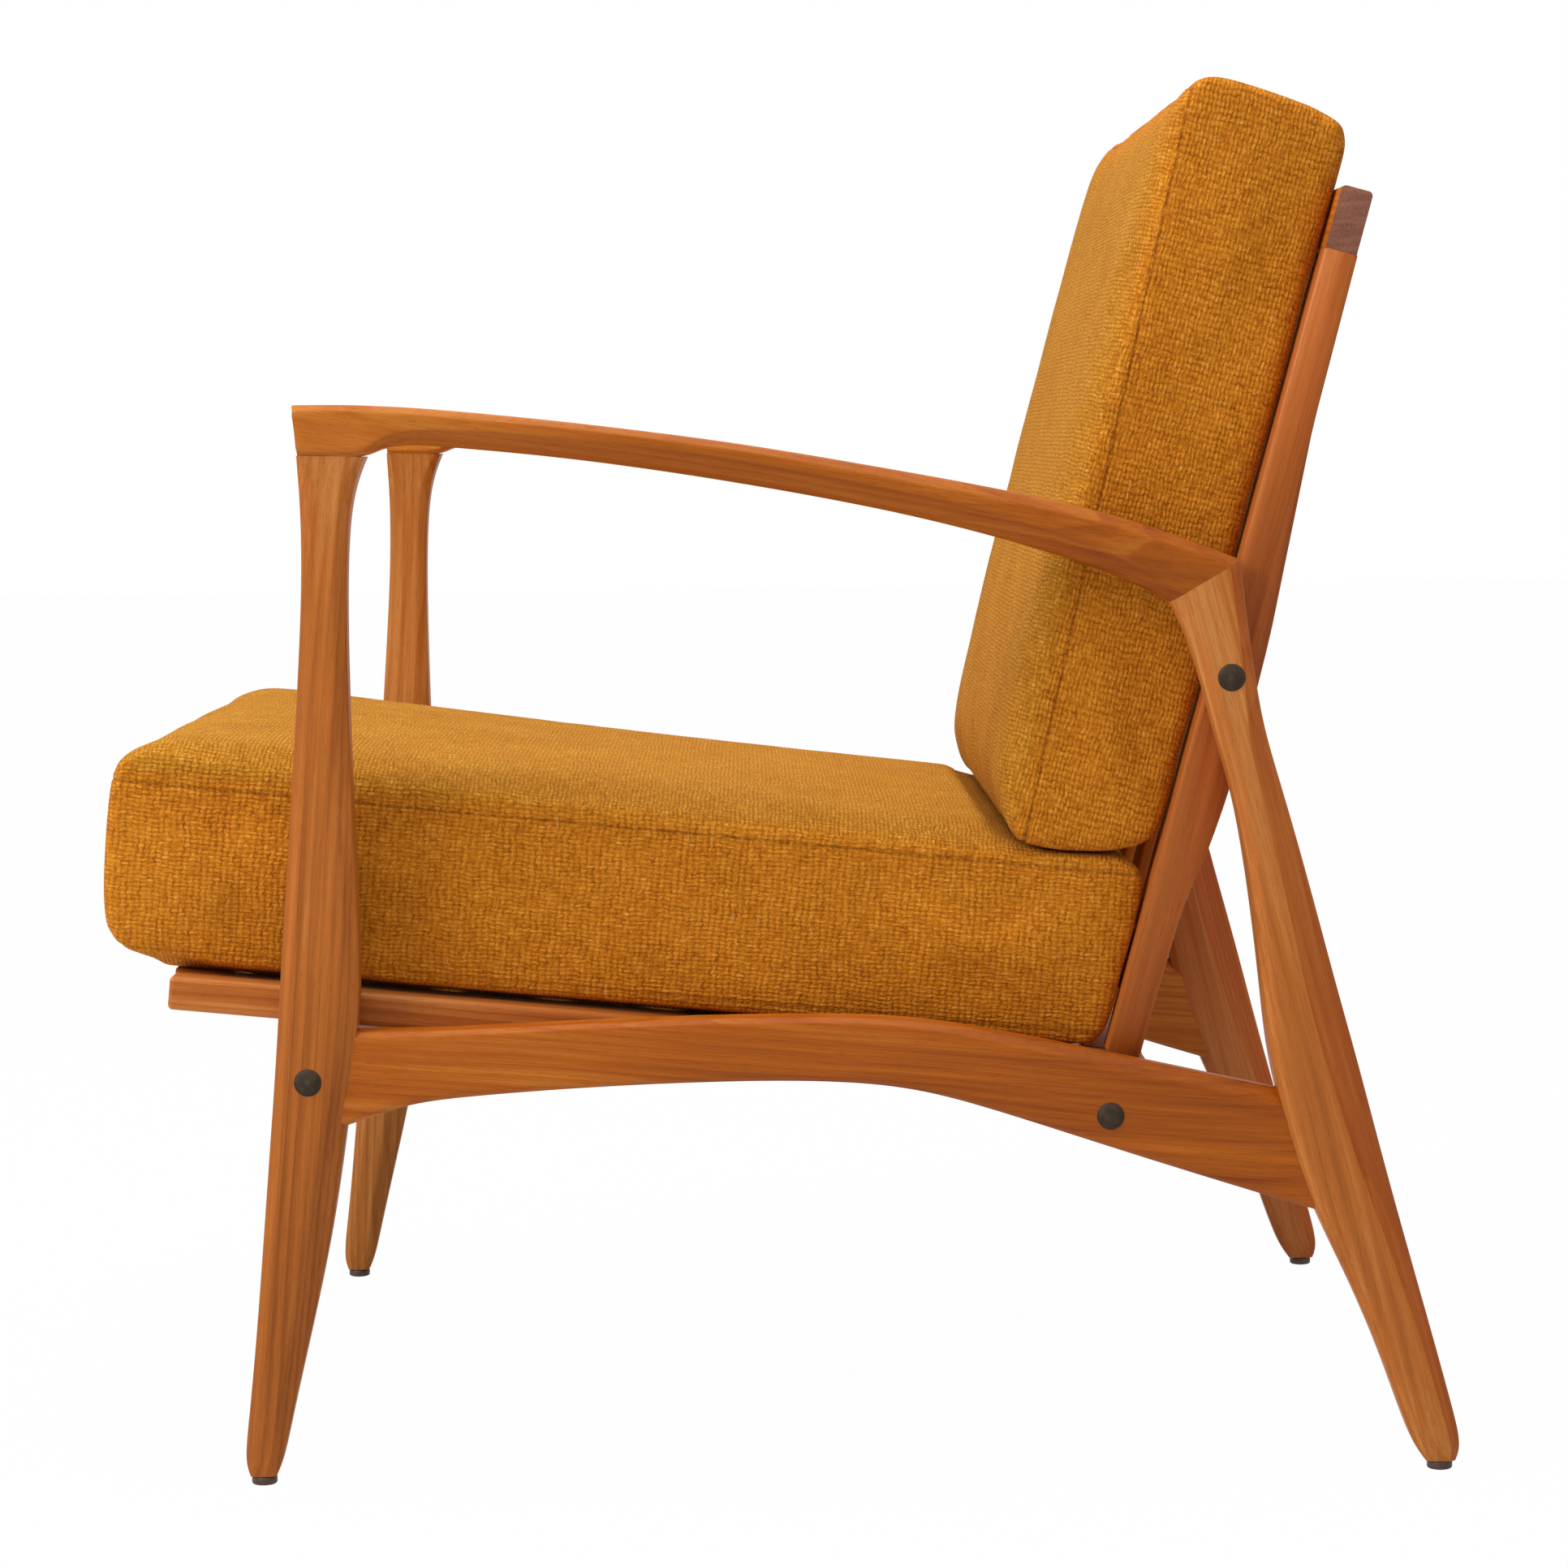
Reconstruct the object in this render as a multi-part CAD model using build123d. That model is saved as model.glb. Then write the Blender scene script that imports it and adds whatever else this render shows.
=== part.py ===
from build123d import *
import os
from collections import namedtuple
from math import cos, hypot, radians, sin

# A wooden easy chair. +X is the sitter's left, the sitter faces -Y, +Z is up. Lengths are in millimetres and
# angles in degrees. The chair is drawn with Y = 0 midway between its front and rear feet. The seat cushion
# stands out further in front than the feet do behind, so each node is moved back on export: that puts the
# origin on the floor under the middle of the chair's whole box.
FEET_MIDDLE_Y = 37.6

# ---- driving dimensions ----
SIDE_X = 315.0          # middle plane of a side frame
LEG_THICK = 30.0        # a leg's thickness where something is joined to it
RAIL_THICK = 26.0       # the side rail's thickness, flush with the legs' inner faces
FIT_GAP = 0.3           # play between the inner frame and each side frame

INNER_HALF = SIDE_X - LEG_THICK / 2 - FIT_GAP   # outer face of the seat and back frame

SEAT_SLOPE = 5.7        # fall of the seat towards the back
SEAT_FRONT = (-399.0, 300.0)                    # Y, Z of the seat rails' front top corner
SEAT_RAIL_START = 2.0
SEAT_RAIL_LENGTH = 581.0
SEAT_RAIL_WIDE = 42.0
SEAT_RAIL_DEEP = 20.0
CROSS_RAIL_WIDE = 36.0
BEARER_WIDE = 28.0
FRONT_BEARER_DEEP = 50.0
REAR_BEARER_DEEP = 27.0

BACK_LEAN = 15.4        # lean of the back frame from upright
BACK_FOOT = (154.2, 248.6)                      # Y, Z of the stiles' front bottom corner
STILE_LENGTH = 487.3
STILE_WIDE = 26.0
STILE_DEEP = 20.0       # a stile's depth where it is slender
CREST_TALL = 37.5
CREST_DEEP = 19.0
LOWER_RAIL_AT = 34.0    # bottom of the lower back rail, up the stiles
LOWER_RAIL_TALL = 38.0
LOWER_RAIL_DEEP = 19.0
SLAT_COUNT = 6
SLAT_WIDE = 34.0
SLAT_THICK = 9.0
TENON = 12.0

STRAP_COUNT = 8
STRAP_WIDE = 48.0
STRAP_THICK = 2.5
REBATE_WIDE = 16.0
BATTEN_THICK = 4.0

FRONT_BOLT = (-314.0, 240.0)                    # Y, Z of the bolts' axes
RAIL_BOLT = (154.0, 214.0)
BACK_BOLT = (225.0, 470.0)
BOLT_R = 3.0
HEAD_R = 6.0
HEAD_TALL = 4.0
COUNTERBORE_R = 6.5
COUNTERBORE_DEEP = 10.0
CAP_R = 8.3
CAP_TALL = 2.4

DOWEL_R = 4.0
GLIDE_R = 7.5
GLIDE_TALL = 5.0
SPIKE_R = 1.5
SPIKE_LONG = 14.0

SEAT_CUSHION_HALF = 282.0
SEAT_CUSHION_TOP = 138.0                        # its highest point, above the seat rails
SEAT_CROWN_ACROSS = 22.0
BACK_CUSHION_HALF = 281.0
BACK_CUSHION_DEEP = 115.0                       # its thickest point, in front of the stiles
BACK_CROWN_ACROSS = 12.0
CUSHION_CORNER = 12.0
COVER_THICK = 2.0
REST_GAP = 0.4          # play between a cushion and what it rests on


def frame_plane(foot, x_dir, z_dir):
    """A work plane whose origin is on the chair's middle plane, at the given Y and Z."""
    return Plane(origin=(0, foot[0], foot[1]), x_dir=x_dir, z_dir=z_dir)


# In the seat's plane x is across the chair, y runs back down the slope and z is square to the seat.
SEAT = frame_plane(SEAT_FRONT, (1, 0, 0), (0, sin(radians(SEAT_SLOPE)), cos(radians(SEAT_SLOPE))))

# In the back's plane x is across the chair, y runs up the stiles and z points forward, to the sitter.
BACK = frame_plane(BACK_FOOT, (1, 0, 0), (0, -cos(radians(BACK_LEAN)), sin(radians(BACK_LEAN))))

# ---- the shaped members of a side frame ----
# A ring is one eight-cornered section: its outer and inner points (Y, Z) on the side view's outline, its
# thickness across the chair, and how far its outer and inner corners are cut back along the section's depth.
# Across the chair the corners are cut back by CUT_ACROSS times as much.
CUT_ACROSS = 0.55
RING_STEP = 20.0
Ring = namedtuple("Ring", "outer inner thick outer_cut inner_cut")

MITRE = Ring((231, 538), (190, 514), LEG_THICK, 7, 8)

FRONT_LEG = [
    Ring((-313.5, 604), (-273, 603), 35, 3, 4),
    Ring((-313, 590), (-280, 590), 31, 4, 6),
    Ring((-312, 568), (-285, 568), 27, 5, 7),
    Ring((-312.5, 525), (-287, 525), 25, 5, 7),
    Ring((-316, 470), (-287, 470), 26, 5, 7),
    Ring((-322.5, 385), (-285.5, 385), 28.5, 6, 9),
    Ring((-329, 305), (-282, 305), LEG_THICK, 7, 9),
    Ring((-332.5, 255), (-286.5, 255), LEG_THICK, 7, 9),
    Ring((-337, 205), (-293.5, 205), LEG_THICK, 7, 14),
    Ring((-342, 150), (-302, 150), 28, 7, 16),
    Ring((-347.5, 90), (-316, 90), 25, 6, 12),
    Ring((-352.5, 45), (-327, 45), 22.5, 5, 9),
    Ring((-356.5, 15), (-333.5, 15), 20, 5, 6),
    Ring((-353, GLIDE_TALL), (-338, GLIDE_TALL), 14, 3, 3),
]

REAR_LEG = [
    MITRE,
    Ring((234, 508), (198, 500), LEG_THICK, 6, 8),
    Ring((239, 472), (209, 468), LEG_THICK, 6, 6),
    Ring((245, 438), (217, 434), LEG_THICK, 11, 6),
    Ring((257, 400), (228, 400), LEG_THICK, 14, 6),
    Ring((273, 343), (237, 343), LEG_THICK, 17, 6),
    Ring((288, 286), (243.5, 286), LEG_THICK, 20, 6),
    Ring((299, 247), (247, 247), LEG_THICK, 20, 6),
    Ring((311, 200), (259, 200), LEG_THICK, 18, 6),
    Ring((322, 158), (272.5, 158), LEG_THICK, 14, 7),
    Ring((333, 118), (292.5, 118), 27, 10, 8),
    Ring((345, 75), (311, 75), 25, 8, 7),
    Ring((354.5, 40), (323, 40), 22.5, 7, 6),
    Ring((361, 15), (332.5, 15), 20, 6, 5),
    Ring((357, GLIDE_TALL), (340, GLIDE_TALL), 14, 3, 3),
]

ARM = [
    Ring((-316, 633), (-313, 603), 37, 4, 3),
    Ring((-293, 633), (-292, 603), 38, 4, 3),
    Ring((-272, 632.5), (-271, 603.5), 40, 4, 4),
    Ring((-252, 631), (-252, 607), 42, 4, 8),
    Ring((-215, 628), (-216, 607), 46, 4, 11),
    Ring((-150, 621), (-152, 600.5), 52, 4, 12),
    Ring((-62, 609), (-65, 587), 56, 4, 13),
    Ring((30, 592.5), (26, 569.5), 55, 5, 13),
    Ring((92, 580.5), (86, 554), 50, 6, 13),
    Ring((150, 567.5), (136, 538.5), 43, 7, 13),
    Ring((195, 552.5), (168, 526), 34, 7, 10),
    MITRE,
]

SIDE_RAIL = [
    Ring((-308, 268), (-308, 208), RAIL_THICK, 3, 3),
    Ring((-276, 268.7), (-276, 219), RAIL_THICK, 3, 3),
    Ring((-254, 268.4), (-254, 226), RAIL_THICK, 3, 3),
    Ring((-225, 268.8), (-225, 229.5), RAIL_THICK, 3, 3),
    Ring((-150, 272), (-150, 234.5), RAIL_THICK, 3, 3),
    Ring((-70, 274), (-70, 237), RAIL_THICK, 3, 3),
    Ring((-10, 274), (-10, 236.5), RAIL_THICK, 3, 3),
    Ring((40, 272), (40, 232), RAIL_THICK, 4, 3),
    Ring((90, 263.5), (90, 217), RAIL_THICK, 5, 3),
    Ring((160, 249.5), (160, 193), RAIL_THICK, 6, 3),
    Ring((246, 230), (246, 165), RAIL_THICK, 6, 3),
    Ring((286, 221), (286, 153), RAIL_THICK, 6, 3),
]


def ring_wire(ring, x_middle):
    """The closed eight-cornered outline of one ring, about the plane X = x_middle."""
    (outer_y, outer_z), (inner_y, inner_z) = ring.outer, ring.inner
    depth = hypot(outer_y - inner_y, outer_z - inner_z)
    toward_outer = ((outer_y - inner_y) / depth, (outer_z - inner_z) / depth)
    half = ring.thick / 2
    corners = [
        (half - CUT_ACROSS * ring.outer_cut, depth),
        (half, depth - ring.outer_cut),
        (half, ring.inner_cut),
        (half - CUT_ACROSS * ring.inner_cut, 0),
    ]
    corners = corners + [(-across, up) for across, up in reversed(corners)]
    points = [
        (x_middle + across, inner_y + up * toward_outer[0], inner_z + up * toward_outer[1])
        for across, up in corners
    ]
    return Wire.make_polygon(points, close=True)


def travelled(rings):
    """How far along the member each ring's middle lies from the first one's."""
    places = [0.0]
    for one, following in zip(rings, rings[1:]):
        doubled_run = [a + b - c - d for a, b, c, d in zip(one.outer, one.inner, following.outer, following.inner)]
        places.append(places[-1] + hypot(*doubled_run) / 2)
    return places


def eased(places, values, at):
    """A value read from a smooth curve through the given values at the given places."""
    runs = [high - low for low, high in zip(places, places[1:])]
    rises = [(high - low) / run for low, high, run in zip(values, values[1:], runs)]
    inner_slopes = [
        (after * rise + before * next_rise) / (before + after)
        for before, after, rise, next_rise in zip(runs, runs[1:], rises, rises[1:])
    ]
    slopes = [rises[0]] + inner_slopes + [rises[-1]]
    span = max(index for index in range(len(runs)) if places[index] <= at + 1e-6)
    t = (at - places[span]) / runs[span]
    ends = (1 + 2 * t) * (1 - t) ** 2 * values[span] + t * t * (3 - 2 * t) * values[span + 1]
    bends = t * (1 - t) ** 2 * slopes[span] - t * t * (1 - t) * slopes[span + 1]
    return ends + bends * runs[span]


def evened(rings):
    """The same member told by rings that lie close together and evenly spaced."""
    places = travelled(rings)
    columns = list(zip(*[(*ring.outer, *ring.inner, *ring[2:]) for ring in rings]))
    count = round(places[-1] / RING_STEP)
    even = []
    for number in range(count + 1):
        at = places[-1] * number / count
        outer_y, outer_z, inner_y, inner_z, *rest = [eased(places, column, at) for column in columns]
        even.append(Ring((outer_y, outer_z), (inner_y, inner_z), *rest))
    return even


def member(rings, x_middle):
    """A solid that runs smoothly through a list of rings."""
    return Solid.make_loft([ring_wire(ring, x_middle) for ring in evened(rings)])


def rod(start, end, radius):
    """A round bar between two points."""
    run = Vector(*end) - Vector(*start)
    plane = Plane(origin=start, z_dir=run)
    return Solid.make_cylinder(radius, run.length, plane)


def block(plane, x, y, z, edge=0.0, along=None):
    """A box between pairs of limits in a work plane. Its edges are rounded, all or those along one axis."""
    sizes = [high - low for low, high in (x, y, z)]
    middle = [(low + high) / 2 for low, high in (x, y, z)]
    solid = Box(*sizes)
    if edge:
        edges = solid.edges().filter_by(along) if along else solid.edges()
        solid = fillet(edges, edge)
    return plane * Pos(*middle) * solid


def mirrored(shape):
    """The same shape on the other side of the chair."""
    return mirror(shape, about=Plane.YZ)


def both_sides(shapes):
    """Shapes of the left side together with their mirror images."""
    return list(shapes) + [mirrored(shape) for shape in shapes]


def cut(shape, tools):
    """The shape with every tool taken out of it."""
    for tool in tools:
        shape = shape - tool
    return shape


# ---- fasteners, made first because the wood is drilled for them ----
def dowel(middle, direction, half_length=18.0, radius=DOWEL_R):
    """A dowel about a point (x, y, z), lying along a direction (x, y, z)."""
    along = Vector(*direction).normalized() * half_length
    centre = Vector(*middle)
    return rod((centre - along), (centre + along), radius)


def side_dowels():
    """The dowels that hold one side frame together."""
    mitre_run = Vector(0, MITRE.outer[0] - MITRE.inner[0], MITRE.outer[1] - MITRE.inner[1])
    mitre_square = mitre_run.cross(Vector(1, 0, 0))
    mitre_y = (MITRE.outer[0] + MITRE.inner[0]) / 2
    mitre_z = (MITRE.outer[1] + MITRE.inner[1]) / 2
    pins = [
        dowel((SIDE_X, -300, 603), (0, 0, 1)),
        dowel((SIDE_X, -285, 603), (0, 0, 1)),
        dowel((SIDE_X, mitre_y - 8, mitre_z - 5), mitre_square, 15, 3.5),
        dowel((SIDE_X, mitre_y + 6, mitre_z + 3), mitre_square, 13, 3.5),
    ]
    rail_x = SIDE_X - LEG_THICK / 2 + RAIL_THICK / 2
    for height in (228, 253):
        pins.append(dowel((rail_x, -287, height), (0, 1, 0), 17))
    for y, z in ((255, 212), (264, 184)):
        pins.append(dowel((rail_x, y, z), (0, 0.963, -0.266), 19))
    return pins


def bolt_place(y_z, face_x):
    """A work plane on a side frame's outer face, pointing in along a bolt."""
    return Plane(origin=(face_x, y_z[0], y_z[1]), x_dir=(0, 1, 0), z_dir=(-1, 0, 0))


def bolt(place, length):
    """A hexagon-socket bolt: its head lies at the bottom of the counterbore."""
    head_at = COUNTERBORE_DEEP - HEAD_TALL
    head = Pos(0, 0, head_at + HEAD_TALL / 2) * Cylinder(HEAD_R, HEAD_TALL)
    socket = Pos(0, 0, head_at + 1) * extrude(RegularPolygon(3, 6), 2, both=True)
    shank = Pos(0, 0, COUNTERBORE_DEEP + length / 2) * Cylinder(BOLT_R, length)
    return place * (head - socket + shank)


def bolt_hole(place, length):
    """The counterbore and clearance hole for one bolt."""
    bore = Pos(0, 0, COUNTERBORE_DEEP / 2 - 2) * Cylinder(COUNTERBORE_R, COUNTERBORE_DEEP + 4)
    shaft = Pos(0, 0, COUNTERBORE_DEEP + length / 2) * Cylinder(BOLT_R, length)
    return place * (bore + shaft)


def cap(place):
    """A domed cover cap with a short plug that fills the mouth of the counterbore."""
    dome_r = (CAP_R ** 2 + CAP_TALL ** 2) / (2 * CAP_TALL)
    dome = Pos(0, 0, dome_r - CAP_TALL) * Sphere(dome_r)
    disc = Pos(0, 0, -CAP_TALL / 2) * Cylinder(CAP_R, CAP_TALL)
    plug = Pos(0, 0, 2) * Cylinder(COUNTERBORE_R, 4)
    return place * ((disc & dome) + plug)


def barrel_nut(place, depth, half_height):
    """A cross dowel nut: a short bar across the bolt with a hole for it."""
    bar = Pos(0, 0, depth) * Rot(90, 0, 0) * Cylinder(5, half_height * 2)
    return place * (bar - Pos(0, 0, depth) * Cylinder(BOLT_R, 20))


LEG_FACE = SIDE_X + LEG_THICK / 2
RAIL_FACE = SIDE_X - LEG_THICK / 2 + RAIL_THICK
FRONT_PLACE = bolt_place(FRONT_BOLT, LEG_FACE)
RAIL_PLACE = bolt_place(RAIL_BOLT, RAIL_FACE)
BACK_PLACE = bolt_place(BACK_BOLT, LEG_FACE)
BEARER_BOLT_LONG = 60.0
BACK_BOLT_LONG = 38.0
NUT_DEPTH = 56.0
INSERT_LONG = 14.0

front_bolt = bolt(FRONT_PLACE, BEARER_BOLT_LONG)
rail_bolt = bolt(RAIL_PLACE, BEARER_BOLT_LONG)
back_bolt = bolt(BACK_PLACE, BACK_BOLT_LONG)
front_hole = bolt_hole(FRONT_PLACE, BEARER_BOLT_LONG)
rail_hole = bolt_hole(RAIL_PLACE, BEARER_BOLT_LONG)
back_hole = bolt_hole(BACK_PLACE, BACK_BOLT_LONG)
front_nut = barrel_nut(FRONT_PLACE, NUT_DEPTH, 9)
rail_nut = barrel_nut(RAIL_PLACE, NUT_DEPTH, 8)
insert_at = LEG_FACE - INNER_HALF + INSERT_LONG / 2
stile_insert = BACK_PLACE * Pos(0, 0, insert_at) * (Cylinder(5, INSERT_LONG) - Cylinder(BOLT_R, INSERT_LONG))
front_cap = cap(FRONT_PLACE)
rail_cap = cap(RAIL_PLACE)
back_cap = cap(BACK_PLACE)
left_dowels = side_dowels()


# ---- side frames ----
def glide(y):
    """A foot glide: a disc with a spike driven up into the leg."""
    disc = fillet(Cylinder(GLIDE_R, GLIDE_TALL).edges().group_by(Axis.Z)[0], 1.5)
    spike = Pos(0, 0, (GLIDE_TALL + SPIKE_LONG) / 2) * Cylinder(SPIKE_R, SPIKE_LONG)
    return Pos(SIDE_X, y, GLIDE_TALL / 2) * (disc + spike)


def foot_middle(rings):
    """Y of the middle of a leg's foot."""
    return (rings[-1].outer[0] + rings[-1].inner[0]) / 2


left_glides = [glide(foot_middle(FRONT_LEG)), glide(foot_middle(REAR_LEG))]

front_leg_blank = member(FRONT_LEG, SIDE_X)
rear_leg_blank = member(REAR_LEG, SIDE_X)
front_leg = cut(front_leg_blank, left_dowels + [front_hole, front_cap, left_glides[0]])
rear_leg = cut(rear_leg_blank, left_dowels + [back_hole, back_cap, left_glides[1]])
armrest = cut(member(ARM, SIDE_X), [front_leg_blank] + left_dowels)
rail_middle = SIDE_X - LEG_THICK / 2 + RAIL_THICK / 2
side_rail = cut(member(SIDE_RAIL, rail_middle), [front_leg_blank, rear_leg_blank, rail_hole] + left_dowels)

# ---- seat frame ----
rail_inner = INNER_HALF - SEAT_RAIL_WIDE
rebate_deep = STRAP_THICK + BATTEN_THICK
cross_span = (-rail_inner, rail_inner)
front_bearer_at = 90.5
rear_bearer_at = 559.0


def bearer(middle, deep):
    """A cross bearer under the seat rails, bolted to both side frames."""
    along = (middle - BEARER_WIDE / 2, middle + BEARER_WIDE / 2)
    return block(SEAT, (-INNER_HALF, INNER_HALF), along, (-SEAT_RAIL_DEEP - deep, -SEAT_RAIL_DEEP), 2)


def cross_rail(start):
    """A rail between the two seat rails, flush with their tops."""
    return block(SEAT, cross_span, (start, start + CROSS_RAIL_WIDE), (-SEAT_RAIL_DEEP, 0), 2)


def seat_dowels():
    """Dowels of one side of the seat frame: rail to bearers, rail to cross rails, stile to rail."""
    rail_centre = INNER_HALF - SEAT_RAIL_WIDE / 2
    square = SEAT.z_dir
    pins = []
    for middle in (front_bearer_at, rear_bearer_at):
        place = SEAT.from_local_coords(Vector(rail_centre + 9, middle - 8.5, -SEAT_RAIL_DEEP))
        pins.append(dowel(place, square, 13))
    for along in (8, 24, SEAT_RAIL_LENGTH - 28, SEAT_RAIL_LENGTH - 12):
        place = SEAT.from_local_coords(Vector(rail_inner, along, -SEAT_RAIL_DEEP / 2 - 2))
        pins.append(dowel(place, (1, 0, 0), 16, 3.5))
    return pins


seat_pins = both_sides(seat_dowels())
stile_x = INNER_HALF - STILE_WIDE / 2
stile_foot_pin = dowel(BACK.from_local_coords(Vector(stile_x, 0, -STILE_DEEP / 2)), BACK.y_dir, 15)

front_rail = cut(cross_rail(0), seat_pins)
rear_rail = cut(cross_rail(SEAT_RAIL_LENGTH - CROSS_RAIL_WIDE), seat_pins)
bolt_cuts = both_sides([front_hole, rail_hole])
nut_cuts = both_sides([front_nut, rail_nut])
front_bearer = cut(bearer(front_bearer_at, FRONT_BEARER_DEEP), seat_pins + bolt_cuts + nut_cuts)
rear_bearer = cut(bearer(rear_bearer_at, REAR_BEARER_DEEP), seat_pins + bolt_cuts + nut_cuts)

seat_rail = block(SEAT, (rail_inner, INNER_HALF), (SEAT_RAIL_START, SEAT_RAIL_LENGTH), (-SEAT_RAIL_DEEP, 0), 3)
rebate_run = (CROSS_RAIL_WIDE, SEAT_RAIL_LENGTH - CROSS_RAIL_WIDE)
rebate = block(SEAT, (rail_inner - 1, rail_inner + REBATE_WIDE), rebate_run, (-rebate_deep, 1))
seat_rail = cut(seat_rail, [rebate, stile_foot_pin] + seat_pins)

batten_across = (rail_inner, rail_inner + REBATE_WIDE - 0.5)
batten_along = (rebate_run[0] + 1, rebate_run[1] - 1)
batten = block(SEAT, batten_across, batten_along, (-BATTEN_THICK, 0), 1)


def straps():
    """Webbing straps side by side, stretched between the rebates of the seat rails."""
    half_span = rail_inner + REBATE_WIDE - 1
    pitch = (rebate_run[1] - rebate_run[0]) / STRAP_COUNT
    made = []
    for number in range(STRAP_COUNT):
        middle = rebate_run[0] + pitch * (number + 0.5)
        along = (middle - STRAP_WIDE / 2, middle + STRAP_WIDE / 2)
        made.append(block(SEAT, (-half_span, half_span), along, (-rebate_deep, -BATTEN_THICK)))
    return made


# ---- back frame ----
def stile_ring(height, deep):
    """One section of a stile. Its outer face is straight, so a deeper section is cut back further behind."""
    behind = BACK.from_local_coords(Vector(0, height, -deep))
    ahead = BACK.from_local_coords(Vector(0, height, 0))
    return Ring((behind.Y, behind.Z), (ahead.Y, ahead.Z), STILE_WIDE, 2 + (deep - STILE_DEEP) / 2, 1.5)


# A stile's depth at heights up its front edge: it swells towards the bolt.
STILE = [
    stile_ring(0, STILE_DEEP - 0.5),
    stile_ring(60, STILE_DEEP + 0.3),
    stile_ring(97, 22),
    stile_ring(127, 26.5),
    stile_ring(160, 29.3),
    stile_ring(215, 30),
    stile_ring(255, 29.3),
    stile_ring(297, 27),
    stile_ring(345, 23.3),
    stile_ring(385, 21),
    stile_ring(430, STILE_DEEP + 0.3),
    stile_ring(STILE_LENGTH, STILE_DEEP - 0.3),
]


def slat(number):
    """One upright back slat with a tenon at each end."""
    clear = 2 * (INNER_HALF - STILE_WIDE)
    pitch = clear / SLAT_COUNT
    x = -clear / 2 + pitch * (number + 0.5)
    front = -5.5
    low = LOWER_RAIL_AT + LOWER_RAIL_TALL
    across = (x - SLAT_WIDE / 2, x + SLAT_WIDE / 2)
    face = block(BACK, across, (low, STILE_LENGTH), (front - SLAT_THICK, front), 2.5, Axis.Y)
    tenon_x = (x - SLAT_WIDE / 2 + 5, x + SLAT_WIDE / 2 - 5)
    tenon_z = (front - SLAT_THICK + 1.5, front - 1.5)
    return face + block(BACK, tenon_x, (low - TENON, STILE_LENGTH + TENON), tenon_z)


def crest():
    """The crest rail across the tops of the stiles, with a softly domed top."""
    height = (STILE_LENGTH, STILE_LENGTH + CREST_TALL)
    blank = block(BACK, (-INNER_HALF, INNER_HALF), height, (-CREST_DEEP, 0))
    upper = Axis((0, 0, 0), BACK.y_dir)
    top = blank.faces().sort_by(upper)[-1]
    return fillet(top.edges().filter_by(Axis.X), 3)


slats = [slat(number) for number in range(SLAT_COUNT)]
crest_pin = dowel(BACK.from_local_coords(Vector(stile_x, STILE_LENGTH, -STILE_DEEP / 2)), BACK.y_dir)
lower_pins = [
    dowel(BACK.from_local_coords(Vector(INNER_HALF - STILE_WIDE, height, -10)), (1, 0, 0), 16, 3.5)
    for height in (LOWER_RAIL_AT + 10, LOWER_RAIL_AT + LOWER_RAIL_TALL - 10)
]
back_pins = both_sides([crest_pin, stile_foot_pin] + lower_pins)
back_stile = cut(member(STILE, stile_x), back_pins[:4] + [stile_insert, back_hole])
crest_rail = cut(crest(), back_pins + slats)
lower_span = (-(INNER_HALF - STILE_WIDE), INNER_HALF - STILE_WIDE)
lower_height = (LOWER_RAIL_AT, LOWER_RAIL_AT + LOWER_RAIL_TALL)
lower_rail = block(BACK, lower_span, lower_height, (-LOWER_RAIL_DEEP, 0), 2)
lower_rail = cut(lower_rail, back_pins + slats)


# ---- cushions ----
def crowned(outline, half_width, crown, top):
    """A side outline drawn out to both sides, its upper face falling by the crown towards them."""
    radius = (half_width ** 2 + crown ** 2) / (2 * crown)
    barrel = Pos(0, 0, top - radius) * Rot(90, 0, 0) * Cylinder(radius, 2000)
    blank = extrude(Plane.YZ * outline, half_width, both=True)
    ends = blank.bounding_box()
    plan = Pos(*ends.center()) * Box(*ends.size)
    plan = fillet(plan.edges().filter_by(Axis.Z), CUSHION_CORNER)
    return blank & plan & barrel


def side_outline(lines, inset):
    """The face inside a row of lines in the side view, shrunk all round by an inset."""
    face = make_face(lines)
    return offset(face, -inset) if inset else face


def seat_block(inset):
    """The seat cushion's body, shrunk all round by an inset."""
    # the outline in the side view: distance behind the seat rails' front end, height above the rails
    nose = ThreePointArc((-30, REST_GAP), (-45, 62), (-38, 122))
    crown = ThreePointArc((-38, 122), (190, SEAT_CUSHION_TOP), (484, 125))
    dip = Polyline((484, 125), (527, 118.5), (560, 116))
    shoulder = ThreePointArc((560, 116), (568, 111), (569.5, 101))
    end = Line((569.5, 101), (553.2, REST_GAP))
    sole = Line((553.2, REST_GAP), (-30, REST_GAP))
    outline = side_outline([nose, crown, dip, shoulder, end, sole], inset)
    body = crowned(outline, SEAT_CUSHION_HALF - inset, SEAT_CROWN_ACROSS, SEAT_CUSHION_TOP - inset)
    low_edges = body.edges().group_by(Axis.Z)[0].filter_by(Axis.Y)
    return SEAT * fillet(low_edges, 8 - inset)


def back_block(inset):
    """The back cushion's body, shrunk all round by an inset."""
    # the outline in the side view: height up the stiles, distance in front of them
    front = ThreePointArc((116, 94), (335, BACK_CUSHION_DEEP), (549, 106))
    crown = ThreePointArc((549, 106), (569.5, 52), (559, 3))
    shoulder = Line((559, 3), (551, REST_GAP))
    flat = Line((551, REST_GAP), (133, REST_GAP))
    heel = Line((133, REST_GAP), (125, 9))
    sole = Polyline((125, 9), (112, 47), (112, 87))
    toe = Line((112, 87), (116, 94))
    outline = side_outline([front, crown, shoulder, flat, heel, sole, toe], inset)
    body = crowned(outline, BACK_CUSHION_HALF - inset, BACK_CROWN_ACROSS, BACK_CUSHION_DEEP - inset)
    return BACK * body


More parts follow.
